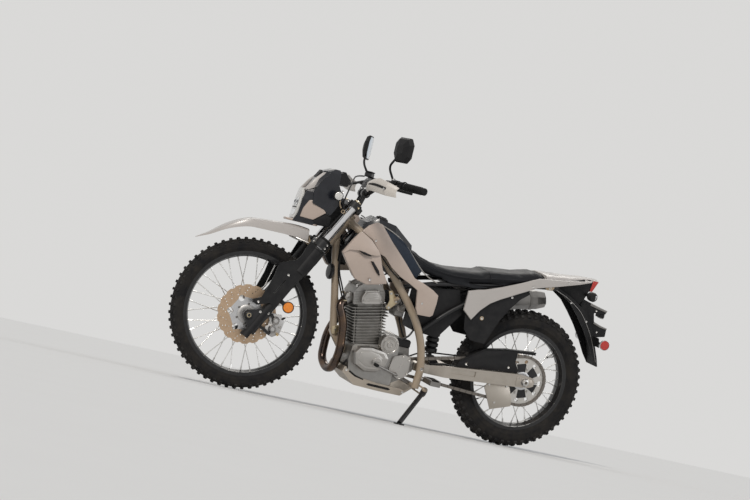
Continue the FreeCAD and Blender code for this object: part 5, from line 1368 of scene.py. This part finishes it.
@dataclass
class Tail:
    """Tail top, side covers with their lugs and screws, and the mudguard's trim with painted highlight rods along its
    edges.
    """
    cap_rows: Sequence[tuple[float, float, float, float]] = (
        (-19, 92, 796, 822), (10, 86, 801, 825.5), (48, 77, 808, 828.5), (120, 64, 820, 836), (190, 51, 834, 846),
        (240, 38, 842, 850), (262, 30, 846, 851))   # x, half width, low z, high z
    core: Outline = (
        (-14, 800), (-14, 786), (16, 784.3), (60, 784.3), (118, 760.3), (169, 738.3), (192, 722), (216, 752),
        (232, 800), (226, 846), (190, 842))
    cover_rows: Sequence[tuple[float, float, float, float]] = (
        (-392, 118, 586, 675), (-345, 118, 549, 690), (-314, 118, 598, 697), (-275, 118, 639, 711),
        (-232, 118, 667, 727), (-143, 118, 715, 765), (-100, 118, 738, 786), (-60, 111, 757, 802), (-22, 104, 767, 808),
        (57, 89, 786, 816), (163, 69, 815, 830), (225, 58, 836, 842))   # x, y, low z, high z
    # Painted highlight: line of the thin steel-grey rods along the mudguard's side edges, standing for light on those
    # edges
    mudguard_edge_highlight: Line = (
        (30, 57, 774), (110, 57, 750), (165, 57, 722), (214, 57, 690), (258, 57, 640), (294, 57, 590), (322, 57, 540),
        (350, 57, 480))

    @staticmethod
    def cap_ring(x: float, half: float, low: float, high: float) -> list[Point]:
        """Corners of the tail top at one x, from its left lower edge over the top to its right one."""
        left = [(-half, low), (-half * 0.96, high - 6), (-half * 0.78, high), (-half * 0.3, high + 1.5)]
        return [(x, y, z) for y, z in left] + [(x, -y, z) for y, z in reversed(left)]

    def build(self) -> None:
        """Build the tail's pieces."""
        top = Piece("tail_cap", Body.FRAME, BIKE)
        work = loft([self.cap_ring(*row) for row in self.cap_rows])
        soften(work, [e for e in work.edges if e.calc_face_angle(0.0) > 0.5], 2.0)
        top.add(work, Look.GREY)
        top.add(plate(self.core, -44, 44, 3.0), Look.BLACK_PLASTIC)
        top.add(plate([(12, 827), (40, 829), (60, 831), (64, 829.6), (12, 825)], -38, 38, 1.0), Look.BLACK_PLASTIC)
        for _, sign in SIDES:
            rail = rod([(20, sign * 66, 800), (70, sign * 66, 812), (150, sign * 56, 826), (190, sign * 47, 838)], 5.0)
            top.add(rail, Look.BLACK_PLASTIC)
        top.done("tail_top", smooth=0.5)
        for side, sign in SIDES:
            cover = Piece(f"tail_cover_{side}", Body.FRAME, BIKE)
            rings = []
            for x, y, low, high in self.cover_rows:
                swell = min(2.5, (high - low) * 0.06)
                rings.append([(x, sign * py, pz) for py, pz in (
                    (y - 10, low), (y - 3, low), (y, low + swell), (y, (low + high) / 2), (y - 1, high - swell),
                    (y - 5, high), (y - 10, high))])
            cover.add(loft(rings), Look.GREY)
            cover.add(lathe([(8, sign * 89), (8, sign * 108)], 20), Look.BLACK_PLASTIC, at(-120, 0, 745))
            cover.add(lathe([(8, sign * 97), (8, sign * 108)], 20), Look.BLACK_PLASTIC, at(-300, 0, 662))
            cover.side_screws(sign, [(-86, 116, 760)], 6.0, 2.5)
            cover.side_screws(sign, [(100, 81, 811)], 5.0, 2.2)
            lug = plate([(-8, 772), (34, 779), (34, 770), (26, 760), (2, 757), (-8, 762)], sign * 70, sign * 84, 2.0)
            cover.add(lug, Look.TAN)
            cover.add(lathe([(3.5, sign * 84.4), (6.5, sign * 84.4), (6.5, sign * 70), (3.5, sign * 70)], 20, True),
                      Look.BOLT, at(14, 0, 768))
            cover.done(smooth=0.5)
        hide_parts("tail_covers")
        trim = Piece("tail_trim", Body.FRAME, BIKE)
        for _, sign in SIDES:
            trim.side_screws(sign, [(-290, 105.7, 566), (-170, 105.7, 690)], 6.0, 2.5)
            trim.add(lathe([(6, 0), (9, 0.4), (9, 1.4), (6, 1.8)], 20), Look.TAN,
                     at(-290, 105.6 if sign > 0 else -107.2, 566))
            trim.side_screws(sign, [(52, 56.2, 768), (150, 56.2, 724), (250, 56.2, 655)], 5.0, 2.2)
            # Steel-grey rods along the mudguard's edges: a painted highlight
            trim.add(rod(mirrored(self.mudguard_edge_highlight, sign), 1.6, 2), Look.STEEL)
        trim.done()


@dataclass
class RearLamps:
    """Tail light, rear turn signals and rear reflectors."""

    def build(self) -> None:
        """Build the lamps."""
        piece = Piece("rear_lamp_set", Body.FRAME, BIKE)
        piece.add(plate([(226, 838), (236, 841), (232, 792), (228, 795)], -45, 45, 1.5), Look.BLACK_PLASTIC)
        piece.add(plate([(235, 841), (250, 846), (267, 846), (246, 794), (232, 793)], -43, 43, 3.0, 3), Glass.RED)
        piece.add(plate([(240, 848), (262, 848.6), (264, 846), (240, 844)], -40, 40, 0.8), Glass.SIGNAL)
        for _, sign in SIDES:
            y = sign * 150
            body = [(20.5, sign * -17), (21.5, sign * -12), (21.5, sign * 10), (17, sign * 17), (0, sign * 18)]
            piece.add(lathe(body, 32), Look.BLACK_PLASTIC, at(200, y, 780))
            piece.add(lathe([(0, -18), (14, -18), (20.5, -17)] if sign > 0 else [(0, 18), (14, 18), (20.5, 17)], 32),
                      Look.BLACK_PLASTIC, at(200, y, 780))
            lens = at(203, y, 780, -90, "Z")
            piece.add(lathe([(0, 21), (9, 20), (15.5, 16), (17.5, 10), (17.5, 0)], 32), Glass.SIGNAL, lens)
            piece.add(lathe([(17.8, 4), (20, 5), (20, 9), (17.8, 10)], 32, True), Look.CARRIER, lens)
            piece.add(rod([(222, sign * 40.3, 776), (212, sign * 90, 779), (203, sign * 134, 782)], 8.0),
                      Look.BLACK_PLASTIC)
            out = at(332, sign * 134, 574)
            piece.add(lathe([(0, sign * 8.4), (12, sign * 8.2), (21, sign * 7.4), (22, sign * 5)], 36), Glass.RED, out)
            piece.add(lathe([(22, sign * 4), (22.3, sign * 7.6), (24, sign * 7.2), (24, 0), (0, 0)], 36), Look.CARRIER,
                      out)
        piece.done("rear_lamps")


@dataclass
class PlateCarrier:
    """Trim of the plate carrier: brackets, lamp and cover strips."""
    brackets: Sequence[Outline] = (
        ((262, 741), (300, 734), (356, 722), (352, 714), (300, 722), (262, 730)),
        ((304, 660), (340, 649), (376, 643), (376, 636), (338, 640), (300, 652)))

    def build(self) -> None:
        """Build the trim."""
        piece = Piece("plate_carrier_trim", Body.FRAME, BIKE)
        for _, sign in SIDES:
            for outline in self.brackets:
                piece.add(plate(outline, sign * 24, sign * 30, 1.0), Look.STEEL)
            piece.side_screws(sign, [(300, 26.4, 712), (330, 26.4, 616)], 5.0, 2.5)
            piece.add(rod([(317, sign * 100, 575), (317, sign * 133, 575)], 5.4, 2), Look.BLACK_PLASTIC)
        piece.add(block((26, 48, 20), 3.0), Look.BLACK_PLASTIC, at(338, 0, 694))
        piece.add(block((16, 34, 4), 1.0), Glass.SIGNAL, at(344, 0, 682))
        piece.done()


# Engine
@dataclass
class EngineTrim:
    """Screws, ribs, plugs and pipes of the engine."""
    lean: float = 12.5
    base: Flat = (-776.0, 305.0)
    generator: Flat = (-741.0, 270.0)
    idler: Flat = (-701.0, 358.0)
    clutch: Flat = (-735.0, 268.0)
    shield: Outline = (
        (-850, 292), (-833, 314), (-786, 326), (-712, 317), (-691, 293), (-701, 251), (-733, 229), (-789, 221),
        (-835, 243))
    shield_dome: Outline = (
        (-835, 262), (-826, 300), (-786, 312), (-740, 306), (-716, 290), (-722, 262), (-744, 244), (-790, 240))
    cam_cover: Outline = ((-40, 228), (-38, 248), (-22, 270), (22, 270), (40, 248), (38, 228))
    tensioner: Outline = ((-82, 222), (-104, 226), (-112, 244), (-104, 262), (-82, 262))
    hanger: Outline = ((-762, 592), (-744, 598), (-712, 562), (-707, 546), (-742, 508), (-756, 512), (-748, 552))
    front_hanger: Outline = ((-950, 372), (-922, 384), (-905, 352), (-926, 336), (-946, 340))

    def build(self) -> None:
        """Build the engine's trim."""
        self.covers()
        self.cylinder()
        self.carburettor()

    def covers(self) -> None:
        """Build the covers' screws and rings."""
        piece = Piece("engine_cover_trim", Body.FRAME, BIKE)
        (gx, gz), (ix, iz), (cx, cz) = self.generator, self.idler, self.clutch
        piece.screws([(x, -111.6, z) for x, z in self.shield], 6.0, 4.0)
        piece.add(lathe([(0, -129), (15, -129), (15, -131.8), (19, -131.8), (22.4, -130.4), (22.4, -126)], 36),
                  Look.COVER, at(gx, 0, gz))
        piece.add(block((22, 2.4, 4), 0.6), Look.STEEL, at(gx, -130, gz))
        piece.add(lathe([(24, -126.8), (25.5, -129), (28, -129), (29.5, -126.8)], 40), Look.COVER, at(ix, 0, iz))
        piece.add(lathe([(0, -127.2), (10, -127.6), (11, -130), (14, -130), (15.5, -127)], 32), Look.COVER,
                  at(ix, 0, iz))
        piece.add(lathe([(34, -124), (36, -125.8), (40, -125), (43, -121)], 48), Look.COVER, at(ix, 0, iz))
        piece.screws([(ix + 37 * math.cos(a), -124, iz + 37 * math.sin(a)) for a in (0.5, 2.6, 4.71)], 5.0, 4.0)
        piece.screws([(-649, -94, 300), (-612, -94, 318), (-580, -94, 306), (-574, -94, 244), (-606, -94, 217)], 5.0,
                     3.5)
        piece.add(plate(self.shield_dome, -120, -127.5, 3.0, 3), Look.COVER)
        for angle in range(0, 360, 40):
            turn = math.radians(angle)
            piece.screws([(cx + 80 * math.cos(turn), 112, cz + 80 * math.sin(turn))], 5.5, 4.0, (0, 1, 0))
        piece.add(lathe([(30, 122), (34, 124.4), (46, 124.4), (50, 122)], 48), Look.COVER, at(cx, 0, cz))
        piece.add(screw(11, 8, 6, 0.0), Look.BOLT, facing((-668, 90, 196), (0, 1, 0)))
        piece.add(rod([(-850, -60, 250), (-866, -64, 240), (-868, -50, 214)], 5.0), Look.BLACK_PLASTIC)
        piece.add(block((64, 34, 36), 6.0), Look.BLACK_PLASTIC, at(-628, -92, 376))
        piece.add(rod([(-660, -96, 372), (-640, -108, 396), (-606, -104, 420), (-590, -96, 470)], 4.5), Look.CABLE)
        piece.done()

    def cylinder(self) -> None:
        """Build the cylinder's columns, the head's cover and the plug."""
        place = BIKE @ at(self.base[0], 0, self.base[1], -self.lean)
        piece = Piece("cylinder_trim", Body.FRAME, place)
        for x in (-68, 60):
            for sign in (-1, 1):
                piece.add(block((5, 9, 172), 1.2), Look.FIN, at(x, sign * 61.0, 112))
        for i in range(5):
            piece.add(block((148 - i * 4, 132, 2.6), 0.8), Look.ENGINE, at(-4, 0, 222 + i * 11.5))
        piece.add(plate(self.cam_cover, -82, -87.5, 2.5, 3), Look.COVER)
        for z in (240, 250, 260):
            piece.add(plate([(-30, z - 1.8), (30, z - 1.8), (30, z + 1.8), (-30, z + 1.8)], -86, -89.4, 1.0),
                      Look.COVER)
        piece.screws([(-44, -83, 230), (44, -83, 226), (-30, -83, 274), (30, -83, 274)], 5.5, 5.0, (0, -1, 0),
                     Look.BOLT, 12)
        piece.screws([(-60, y, 290) for y in (-50, 50)] + [(56, y, 290) for y in (-50, 50)], 6.5, 9.0, (0, 0, 1),
                     Look.BOLT, 6, 0.0)
        piece.add(plate(self.tensioner, -44, -8, 3.0), Look.COVER)
        piece.screws([(-108, -46, 226), (-108, -10, 258)], 5.0, 16.0, (-1, 0, 0), Look.PLATED, 6, 0.0)
        piece.add(lathe([(9, 64), (12, 66), (12, 78), (9, 82), (8, 96), (0, 98)], 20), Look.RUBBER, at(-6, 0, 262))
        piece.add(rod([(-6, 96, 262), (20, 104, 268), (60, 92, 290), (90, 60, 318), (120, 30, 338)], 3.6), Look.CABLE)
        piece.done()

    def carburettor(self) -> None:
        """Build the carburettor behind the cylinder and the engine's upper hanger."""
        piece = Piece("carburettor", Body.FRAME, BIKE)
        piece.add(lathe([(0, -36), (26, -36), (30, -30), (30, 26), (24, 34), (0, 34)], 32), Look.ENGINE,
                  at(-664, 0, 541, 90, "X"))
        piece.add(block((52, 62, 44), 6.0), Look.ENGINE, at(-662, -4, 502))
        piece.add(block((40, 16, 30), 3.0), Look.COVER, at(-662, -42, 520))
        piece.add(lathe([(0, -58), (13, -58), (15, -54), (15, -46)], 24), Look.COVER, at(-660, 0, 528))
        piece.screws([(-676, -50, 508), (-648, -50, 508), (-660, -58, 528)], 4.5, 3.0)
        piece.add(rod([(-660, -50, 545), (-690, -62, 580), (-740, -60, 640), (-800, -40, 700)], 3.2, 2), Look.CABLE)
        piece.add(rod([(-650, -20, 478), (-646, -54, 440), (-624, -70, 400)], 4.0, 2), Look.RUBBER)
        piece.done()
        hanger = Piece("engine_hanger", Body.FRAME, BIKE)
        for _, sign in SIDES:
            hanger.add(plate(self.hanger, sign * 92, sign * 98, 1.6), Look.PLATED)
            hanger.screws([(-750, sign * 98, 583), (-718, sign * 98, 553), (-746, sign * 98, 519)], 6.5, 5.0,
                          (0, sign, 0), Look.BOLT, 6, 0.0)
            hanger.add(rod([(-750, sign * 64, 520), (-750, sign * 94, 520)], 8.0), Look.BOLT)
            hanger.add(rod([(-722, sign * 96, 556), (-716, sign * 112, 572)], 8.0), Look.FRAME_PAINT)
            hanger.add(plate(self.front_hanger, sign * 12, sign * 18, 1.5), Look.PLATED)
            hanger.screws([(-934, sign * 18, 362), (-918, sign * 18, 348)], 5.5, 4.0, (0, sign, 0), Look.BOLT, 6, 0.0)
        hanger.done()


@dataclass
class Exhaust:
    """Collars of the header and the muffler's cap, strap and outlet."""
    end: Point = (112.0, 164.0, 692.0)
    bands: Outline = ((-380, 46.4), (40, 48.2))   # x, radius
    collars: Sequence[tuple[Point, Point]] = (
        ((-929.5, -26, 498), (-0.8, -0.5, -0.5)), ((-520, 112, 556), (1.0, 0.55, 0.1)))   # place, direction
    stay: Outline = ((-40, 700), (0, 712), (6, 760), (-20, 772), (-34, 752))
    shield: Outline = ((-900, 398), (-892, 404), (-866, 452), (-850, 456), (-846, 446), (-880, 396))

    def build(self) -> None:
        """Build the exhaust's trim."""
        piece = Piece("exhaust_trim", Body.FRAME, BIKE)
        end = along(self.end, (42, -2, 10))
        piece.add(lathe([(36, -6), (37.4, -2), (35, 2), (24, 3), (22, 0), (14, 0), (14, -20)], 8), Look.MUFFLER,
                  end @ at(0, 0, 0, 22.5))
        piece.add(lathe([(9, 9), (11.5, 9), (11.5, 0), (9, 0)], 20, True), Look.HEADER, end @ at(6, 0, -8))
        for x, radius in self.bands:
            spot = (x, 168 if x < 0 else 166, 570 + (x + 390) * 112 / 460)
            piece.add(lathe([(radius - 3, -7), (radius, -6), (radius, 6), (radius - 3, 7)], 8), Look.STEEL,
                      along(spot, (460, -2, 112)) @ at(0, 0, 0, 22.5))
        piece.add(plate(self.stay, 92, 98, 1.6), Look.BLACK_PAINT)
        piece.screws([(-16, 98, 716), (-14, 98, 756)], 6.5, 5.0, (0, 1, 0), Look.BOLT, 6, 0.0)
        for spot, direction in self.collars:
            piece.add(lathe([(19.5, -6), (24, -4), (24, 4), (19.5, 6)], 32), Look.STEEL, along(spot, direction))
        piece.add(plate(self.shield, 148, 151, 1.0), Look.BLACK_PAINT)
        piece.done()


# Rear end
@dataclass
class RearEnd:
    """Axle nuts, adjusters, chain guard and guide, shock and caliper trim."""
    adjuster: Outline = ((-44, 300), (30, 304), (44, 322), (30, 340), (-44, 344))
    slider: Outline = ((-470, 309), (-400, 323), (-300, 326), (-300, 321), (-400, 316), (-470, 303))
    guard: Outline = (
        (-344, 1), (-330, 34), (-231, 105), (-120, 128), (27, 142), (30, 130), (-60, 122), (-60, 78), (-36, 44),
        (-36, 32.2))   # from the axle
    guard_top: Outline = (
        (-332, 356), (-231, 428), (-120, 451), (29, 465), (29, 461), (-118, 447), (-229, 423), (-330, 351))
    guide: Outline = ((-179, -64), (-125, -158), (-26, -124), (-31, -91), (-60, -30.4), (-170, -39.4))
    rubbing: Outline = ((-168, 262), (-120, 180), (-40, 204), (-60, 262))

    def build(self) -> None:
        """Build the rear end's pieces."""
        x, z = REAR_AXLE
        piece = Piece("swingarm_trim", Body.FRAME, BIKE)
        for _, sign in SIDES:
            piece.add(lathe([(10.2, sign * 112), (19, sign * 112.4), (19, sign * 115), (10.2, sign * 115.4)], 32, True),
                      Look.STEEL, at(x, 0, z))
            nut = [(7.4, sign * 129), (12, sign * 129), (16.5, sign * 127), (16.5, sign * 115.5), (7.4, sign * 115.5)]
            piece.add(lathe(nut, 6, True), Look.BOLT, at(x, 0, z))
            piece.add(plate(self.adjuster, sign * 112, sign * 114, 1.0), Look.ARM)
            piece.add(rod([(44, sign * 99, 324), (66, sign * 99, 324)], 4.0), Look.BOLT)
            piece.screws([(48, sign * 99, 324)], 7.5, 7.0, (1, 0, 0), Look.BOLT, 6, 0.0)
            for i in range(5):
                mark = [(px + i * 14, pz) for px, pz in ((-34, 333), (-32, 333), (-32, 341), (-34, 341))]
                piece.add(plate(mark, sign * 113, sign * 114.6, 0.2, 1), Look.STEEL)
            piece.screws([(-520, sign * 112, 281)], 15.0, 9.0, (0, sign, 0), Look.BOLT, 6, 0.4)
        piece.add(plate(self.slider, -92, -62, 1.5), Look.RUBBER)
        piece.add(rod([(-560, 84, 260), (-470, 113, 330), (-330, 114, 344), (-200, 112, 356), (-120, 96, 356)], 3.6),
                  Look.CABLE)
        piece.screws([(-120, 82, 352), (-78, 82, 366)], 5.5, 4.0, (0, 1, 0))
        piece.done()
        guard = Piece("chain_guard", Body.FRAME, BIKE)
        guard.add(plate([(px + x, pz + z) for px, pz in self.guard], -90, -86, 1.2), Look.GUARD)
        guard.add(plate(self.guard_top, -93, -60, 1.0), Look.GUARD)
        guard.screws([(-300, -90, 345), (-90, -90, 372)], 6.0, 3.0)
        guard.done("chain_guards")
        guide = Piece("chain_guide", Body.FRAME, BIKE)
        guide.add(plate([(px + x, pz + z) for px, pz in self.guide], -88, -85, 1.0), Look.ARM)
        guide.add(plate(self.rubbing, -85, -60, 3.0), Look.RUBBER)
        guide.screws([(-160, -88, 276), (-72, -88, 284), (-112, -88, 200)], 6.5, 4.0, (0, -1, 0), Look.BOLT, 6, 0.0)
        guide.done()
        shock = Piece("shock_trim", Body.FRAME, BIKE)
        shock.add(rod([(-459, -30, 640), (-430, -52, 640), (-410, -52, 620)], 4.0), Look.RUBBER)
        shock.add(lathe([(31, -8), (34, -6), (34, 6), (31, 8)], 32), Look.STEEL,
                  at(-464, 0, 600, 90, "X"))
        shock.done()


@dataclass
class FootGear:
    """Foot peg teeth, lever tip and the skid plate's recesses."""
    teeth: int = 8
    recesses: Sequence[Outline] = (
        ((-846, 205), (-812, 188), (-770, 178), (-770, 172), (-814, 180), (-848, 196)),
        ((-740, 164), (-640, 162), (-630, 156), (-640, 151), (-740, 153), (-752, 158)))

    def build(self) -> None:
        """Build the foot gear."""
        piece = Piece("footpeg_trim", Body.FRAME, BIKE)
        for _, sign in SIDES:
            for i in range(self.teeth):
                for x in (-502, -458):
                    piece.add(block((6, 5, 7), 0.8, 0.5), Look.STEEL, at(x, sign * (140 + i * 11.5), 253))
            piece.add(block((34, 78, 6), 2.0), Look.RUBBER, at(-480, sign * 180, 253))
            piece.screws([(-505, sign * 124, 240)], 7.0, 5.0, (-0.3, 0, 1), Look.BOLT, 12)
        piece.add(rod([(-748, -122, 258), (-748, -158, 258)], 8.5), Look.RUBBER)
        piece.add(block((34, 30, 8), 2.0), Look.STEEL, at(-740, 150, 250))
        piece.done()
        skid = Piece("skid_plate_trim", Body.FRAME, BIKE)
        for _, sign in SIDES:
            for outline in self.recesses:
                skid.add(plate(outline, sign * 91.6, sign * 92.6, 0.4, 1), Look.BLACK_PLASTIC)
            skid.side_screws(sign, [(-862, 92, 204), (-570, 92, 156)], 7.0, 3.0)
        skid.done()


@dataclass
class Lines:
    """Hoses and cables that run along the bike."""
    hose_radius: float = 3.4
    upper_hose: Line = (
        (-935, 196, 1066), (-985, 150, 1060), (-1010, 60, 1030), (-1040, -20, 970), (-1062, -78, 915),
        (-1058, -112, 880), (-1075, -118, 850), (-1105, -112, 800), (-1140, -88, 730), (-1158, -72, 690))
    lower_hose: Line = (
        (-1158, -72, 690), (-1172, -68, 640), (-1196, -66, 590), (-1236, -66, 520), (-1262, -70, 460),
        (-1290, -72, 405))

    def build(self) -> None:
        """Build the front brake hose and the cables round the headstock."""
        hose = Piece("front_brake_hose", Body.FORK, FORK)
        hose.add(rod(self.upper_hose, self.hose_radius, 2), Look.CABLE)
        hose.add(lathe([(6.0, -3), (8.6, -3), (8.6, 3), (6.0, 3)], 20, True), Look.TAN, at(-1060, -112, 882))
        hose.add(rod(self.lower_hose, self.hose_radius, 2), Look.CABLE)
        hose.done()
        cables = Piece("headstock_cables", Body.FRAME, BIKE)
        for y, out in ((-30, 8), (-18, 0), (22, -6), (34, 6)):
            cables.add(rod([(-964, y, 812), (-990 - out, y * 1.4, 760), (-1004 - out, y * 1.3, 690),
                            (-996, y * 1.2, 620), (-972 + out, y * 1.3, 560), (-930, y * 1.6, 480 + out)], 3.6, 2),
                       Look.CABLE)
        cables.add(block((56, 40, 78), 6.0), Look.BLACK_PLASTIC, at(-985, 0, 700))
        cables.add(lathe([(0, -6), (30, -6), (36, -2), (36, 6), (30, 12), (0, 14)], 36), Look.BLACK_PAINT,
                   at(-1020, 0, 610, 90, "Z"))
        cables.done()


# The CAD nodes that stay in view
NODE_LOOKS = {
    "front_rim": Look.RIM, "rear_rim": Look.RIM, "front_spokes": Look.SPOKE, "rear_spokes": Look.SPOKE,
    "front_hub": Look.HUB, "rear_hub": Look.STEEL, "front_axle": Look.BOLT, "rear_axle": Look.BOLT,
    "rear_disc": Look.DISC, "chain": Look.CHAIN, "fork_sliders": Look.BLACK_PAINT, "fork_upper": Look.BLACK_PAINT,
    "fork_guards": Look.GUARD, "front_caliper": Look.HUB, "rear_caliper": Look.HUB, "headlight_cowl": Look.NAVY,
    "meter": Look.BLACK_PLASTIC, "handlebar": Look.BLACK_PAINT, "hand_controls": Look.RUBBER,
    "mirrors": Look.BLACK_PLASTIC, "main_frame": Look.FRAME_PAINT, "subframe": Look.BLACK_PAINT,
    "crankcase": Look.ENGINE, "engine_covers": Look.COVER, "cylinder": Look.FIN, "cylinder_head": Look.ENGINE,
    "airbox": Look.BLACK_PLASTIC, "header": Look.HEADER, "muffler": Look.MUFFLER, "fuel_tank": Look.NAVY,
    "rear_mudguard": Look.BLACK_PLASTIC, "swingarm": Look.ARM, "shock_absorber": Look.BLACK_PAINT,
    "foot_controls": Look.STEEL, "skid_plate": Look.SKID, "side_stand": Look.BLACK_PAINT}


def dress_nodes() -> None:
    """Materials of the CAD nodes that stay in view, and of their parts that differ."""
    for node, look in NODE_LOOKS.items():
        dress(node, look)
    nodes = frame["nodes"]
    tint(nodes["rear_disc"], Look.CARRIER, BIKE, lambda p: math.hypot(p.x, p.z - REAR_AXLE[1]) < 68.0)
    tint(nodes["hand_controls"], Look.STEEL, FORK, lambda p: p.x < -962.0)
    tint(nodes["foot_controls"], Look.RUBBER, BIKE, lambda p: p.x < -740.0 and p.y < 0)


def camera() -> None:
    """Camera at the photograph's viewing angle, matched in the upright bike frame."""
    azimuth, height, roll = (math.radians(v) for v in (22.1, 4.2, 15.0))
    back = Vector((-math.sin(azimuth) * math.cos(height), -math.cos(azimuth) * math.cos(height), math.sin(height)))
    level = Vector((math.cos(azimuth), -math.sin(azimuth), 0.0))
    upright = back.cross(level)
    right = level * math.cos(roll) + upright * math.sin(roll)
    up = upright * math.cos(roll) - level * math.sin(roll)
    pose = Matrix((right, up, back)).transposed().to_4x4()
    pose.translation = Vector((-0.840, 0.0, 0.749)) + back * 12.98
    data = bpy.data.cameras.new("camera")
    data.sensor_width, data.lens = 36.0, 138.286
    obj = bpy.data.objects.new("camera", data)
    obj.matrix_world = PARK @ pose
    bpy.context.scene.collection.objects.link(obj)
    bpy.context.scene.camera = obj
    log.info("camera at %s", tuple(round(v, 3) for v in obj.matrix_world.translation))


@dataclass
class Studio:
    """Pale floor, pale surroundings and soft lights."""
    pale: Point = (0.70, 0.695, 0.685)
    sky: Point = (0.62, 0.66, 0.72)
    ground: Point = (0.78, 0.775, 0.76)
    patches: Point = (0.765, 0.76, 0.745)
    strength: float = 0.45
    lamps: Sequence[tuple[str, Point, float, float, Point]] = (
        ("key", (-3.5, -5.0, 5.0), 12.0, 1.75, (1.0, 0.95, 0.89)),
        ("fill", (4.5, -4.0, 2.6), 40.0, 0.55, (0.92, 0.95, 1.0)),
        ("rim", (1.5, 4.5, 4.5), 30.0, 0.6, (1.0, 0.97, 0.92)))   # name, towards, angle, strength, colour

    def build(self) -> None:
        """Build the floor, the world and the lamps."""
        scene = bpy.context.scene
        scene.view_settings.view_transform = "Standard"
        world = bpy.data.worlds.new("surroundings")
        world.use_nodes = True
        nodes, links = world.node_tree.nodes, world.node_tree.links
        nodes["Background"].inputs["Color"].default_value = (*self.sky, 1.0)
        nodes["Background"].inputs["Strength"].default_value = self.strength
        pale, path, choose, seen, shown = shader_nodes(
            world.node_tree, "Background", "LightPath", "MixShader", "Math", "Math")
        pale.inputs["Color"].default_value = (*self.pale, 1.0)
        seen.operation = shown.operation = "MAXIMUM"
        links.new(path.outputs["Is Camera Ray"], seen.inputs[0])
        links.new(path.outputs["Is Glossy Ray"], seen.inputs[1])
        links.new(path.outputs["Is Transmission Ray"], shown.inputs[0])
        links.new(seen.outputs[0], shown.inputs[1])
        links.new(shown.outputs[0], choose.inputs["Fac"])
        links.new(nodes["Background"].outputs[0], choose.inputs[1])
        links.new(pale.outputs[0], choose.inputs[2])
        links.new(choose.outputs[0], nodes["World Output"].inputs["Surface"])
        scene.world = world
        self.floor()
        for name, towards, angle, strength, colour in self.lamps:
            lamp = bpy.data.lights.new(name, "SUN")
            lamp.angle, lamp.energy, lamp.color = math.radians(angle), strength, colour
            obj = bpy.data.objects.new(name, lamp)
            obj.location = towards
            obj.rotation_euler = (-Vector(towards)).to_track_quat("-Z", "Y").to_euler()
            scene.collection.objects.link(obj)

    def floor(self) -> None:
        """Build the floor, with a faint mottle."""
        mesh = bpy.data.meshes.new("floor")
        work = bmesh.new()
        bmesh.ops.create_grid(work, x_segments=1, y_segments=1, size=40.0)
        work.to_mesh(mesh)
        work.free()
        mesh.transform(Matrix.Translation((0.0, 0.0, -0.0012)))
        ground = bpy.data.objects.new("floor", mesh)
        bpy.context.scene.collection.objects.link(ground)
        mat = bpy.data.materials.new("floor")
        mat.use_nodes = True
        tree = mat.node_tree
        shader = tree.nodes["Principled BSDF"]
        place, noise, tone = shader_nodes(tree, "TexCoord", "TexNoise", "Mix")
        tone.data_type = "RGBA"
        tone.inputs["A"].default_value = (*self.ground, 1.0)
        tone.inputs["B"].default_value = (*self.patches, 1.0)
        noise.inputs["Scale"].default_value = 3.0
        tree.links.new(place.outputs["Object"], noise.inputs["Vector"])
        tree.links.new(noise.outputs["Fac"], tone.inputs["Factor"])
        tree.links.new(tone.outputs["Result"], shader.inputs["Base Color"])
        shader.inputs["Roughness"].default_value = 1.0
        shader.inputs["Specular IOR Level"].default_value = 0.0
        mesh.materials.append(mat)


FRONT_TYRE = Tyre(
    "front_tyre_knobby", "front_tyre", Body.FRONT_WHEEL, FORK, FRONT_AXLE,
    profile=((268.5, 27.5), (280, 30.5), (291, 35.2), (296, 36.6), (298, 35.9), (306, 37.2), (316, 35.8), (324, 30.5),
             (329, 21.5), (331.5, 11)),
    blocks=((8.6, 334.6, 9, 13, 13, 10, 0), (0.0, 335.2, 0, 14, 14, 9.4, 1), (22.5, 329.4, 33, 13, 12, 12, 1),
            (23.0, 329.2, 33, 9, 9, 11, 0), (32.6, 320.0, 62, 15, 10, 9, 2)),
    rows=60)
REAR_TYRE = Tyre(
    "rear_tyre_knobby", "rear_tyre", Body.REAR_WHEEL, BIKE, REAR_AXLE,
    profile=((230.5, 37.5), (242, 41), (254, 48), (259, 50), (261, 49.2), (270, 51), (282, 49.4), (296, 43.5),
             (305, 34), (311, 19)),
    blocks=((12.0, 315.6, 9, 15, 18, 11, 0), (0.0, 316.4, 0, 16, 18, 10.6, 1), (31.5, 308.0, 34, 15, 15, 13, 1),
            (32.0, 307.6, 34, 11, 12, 12, 0), (44.6, 295.0, 60, 17, 13, 11, 2)),
    rows=56)


def main() -> None:
    """Build the scene in order."""
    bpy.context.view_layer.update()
    camera()
    Studio().build()
    Lines().build()
    dress_nodes()
    FRONT_TYRE.build()
    REAR_TYRE.build()
    WheelTrim("front_wheel_trim", Body.FRONT_WHEEL, FORK, FRONT_AXLE, 36.3, 31.5, 252.8).build()
    WheelTrim("rear_wheel_trim", Body.REAR_WHEEL, BIKE, REAR_AXLE, 58.3, 38.0, 212.8).build()
    for assembly in (FrontDisc(), Sprocket(), Forks(), FrontCaliper(), Fender(), Cowl(), Meter(), Bars(), FrontLamps(),
                     Shrouds(), Tank(), Seat(), Tail(), RearLamps(), PlateCarrier(), EngineTrim(), Exhaust(), RearEnd(),
                     FootGear()):
        assembly.build()
        log.info("%s built", type(assembly).__name__)


if __name__ == "__main__":
    logging.basicConfig(level=logging.INFO)
    main()
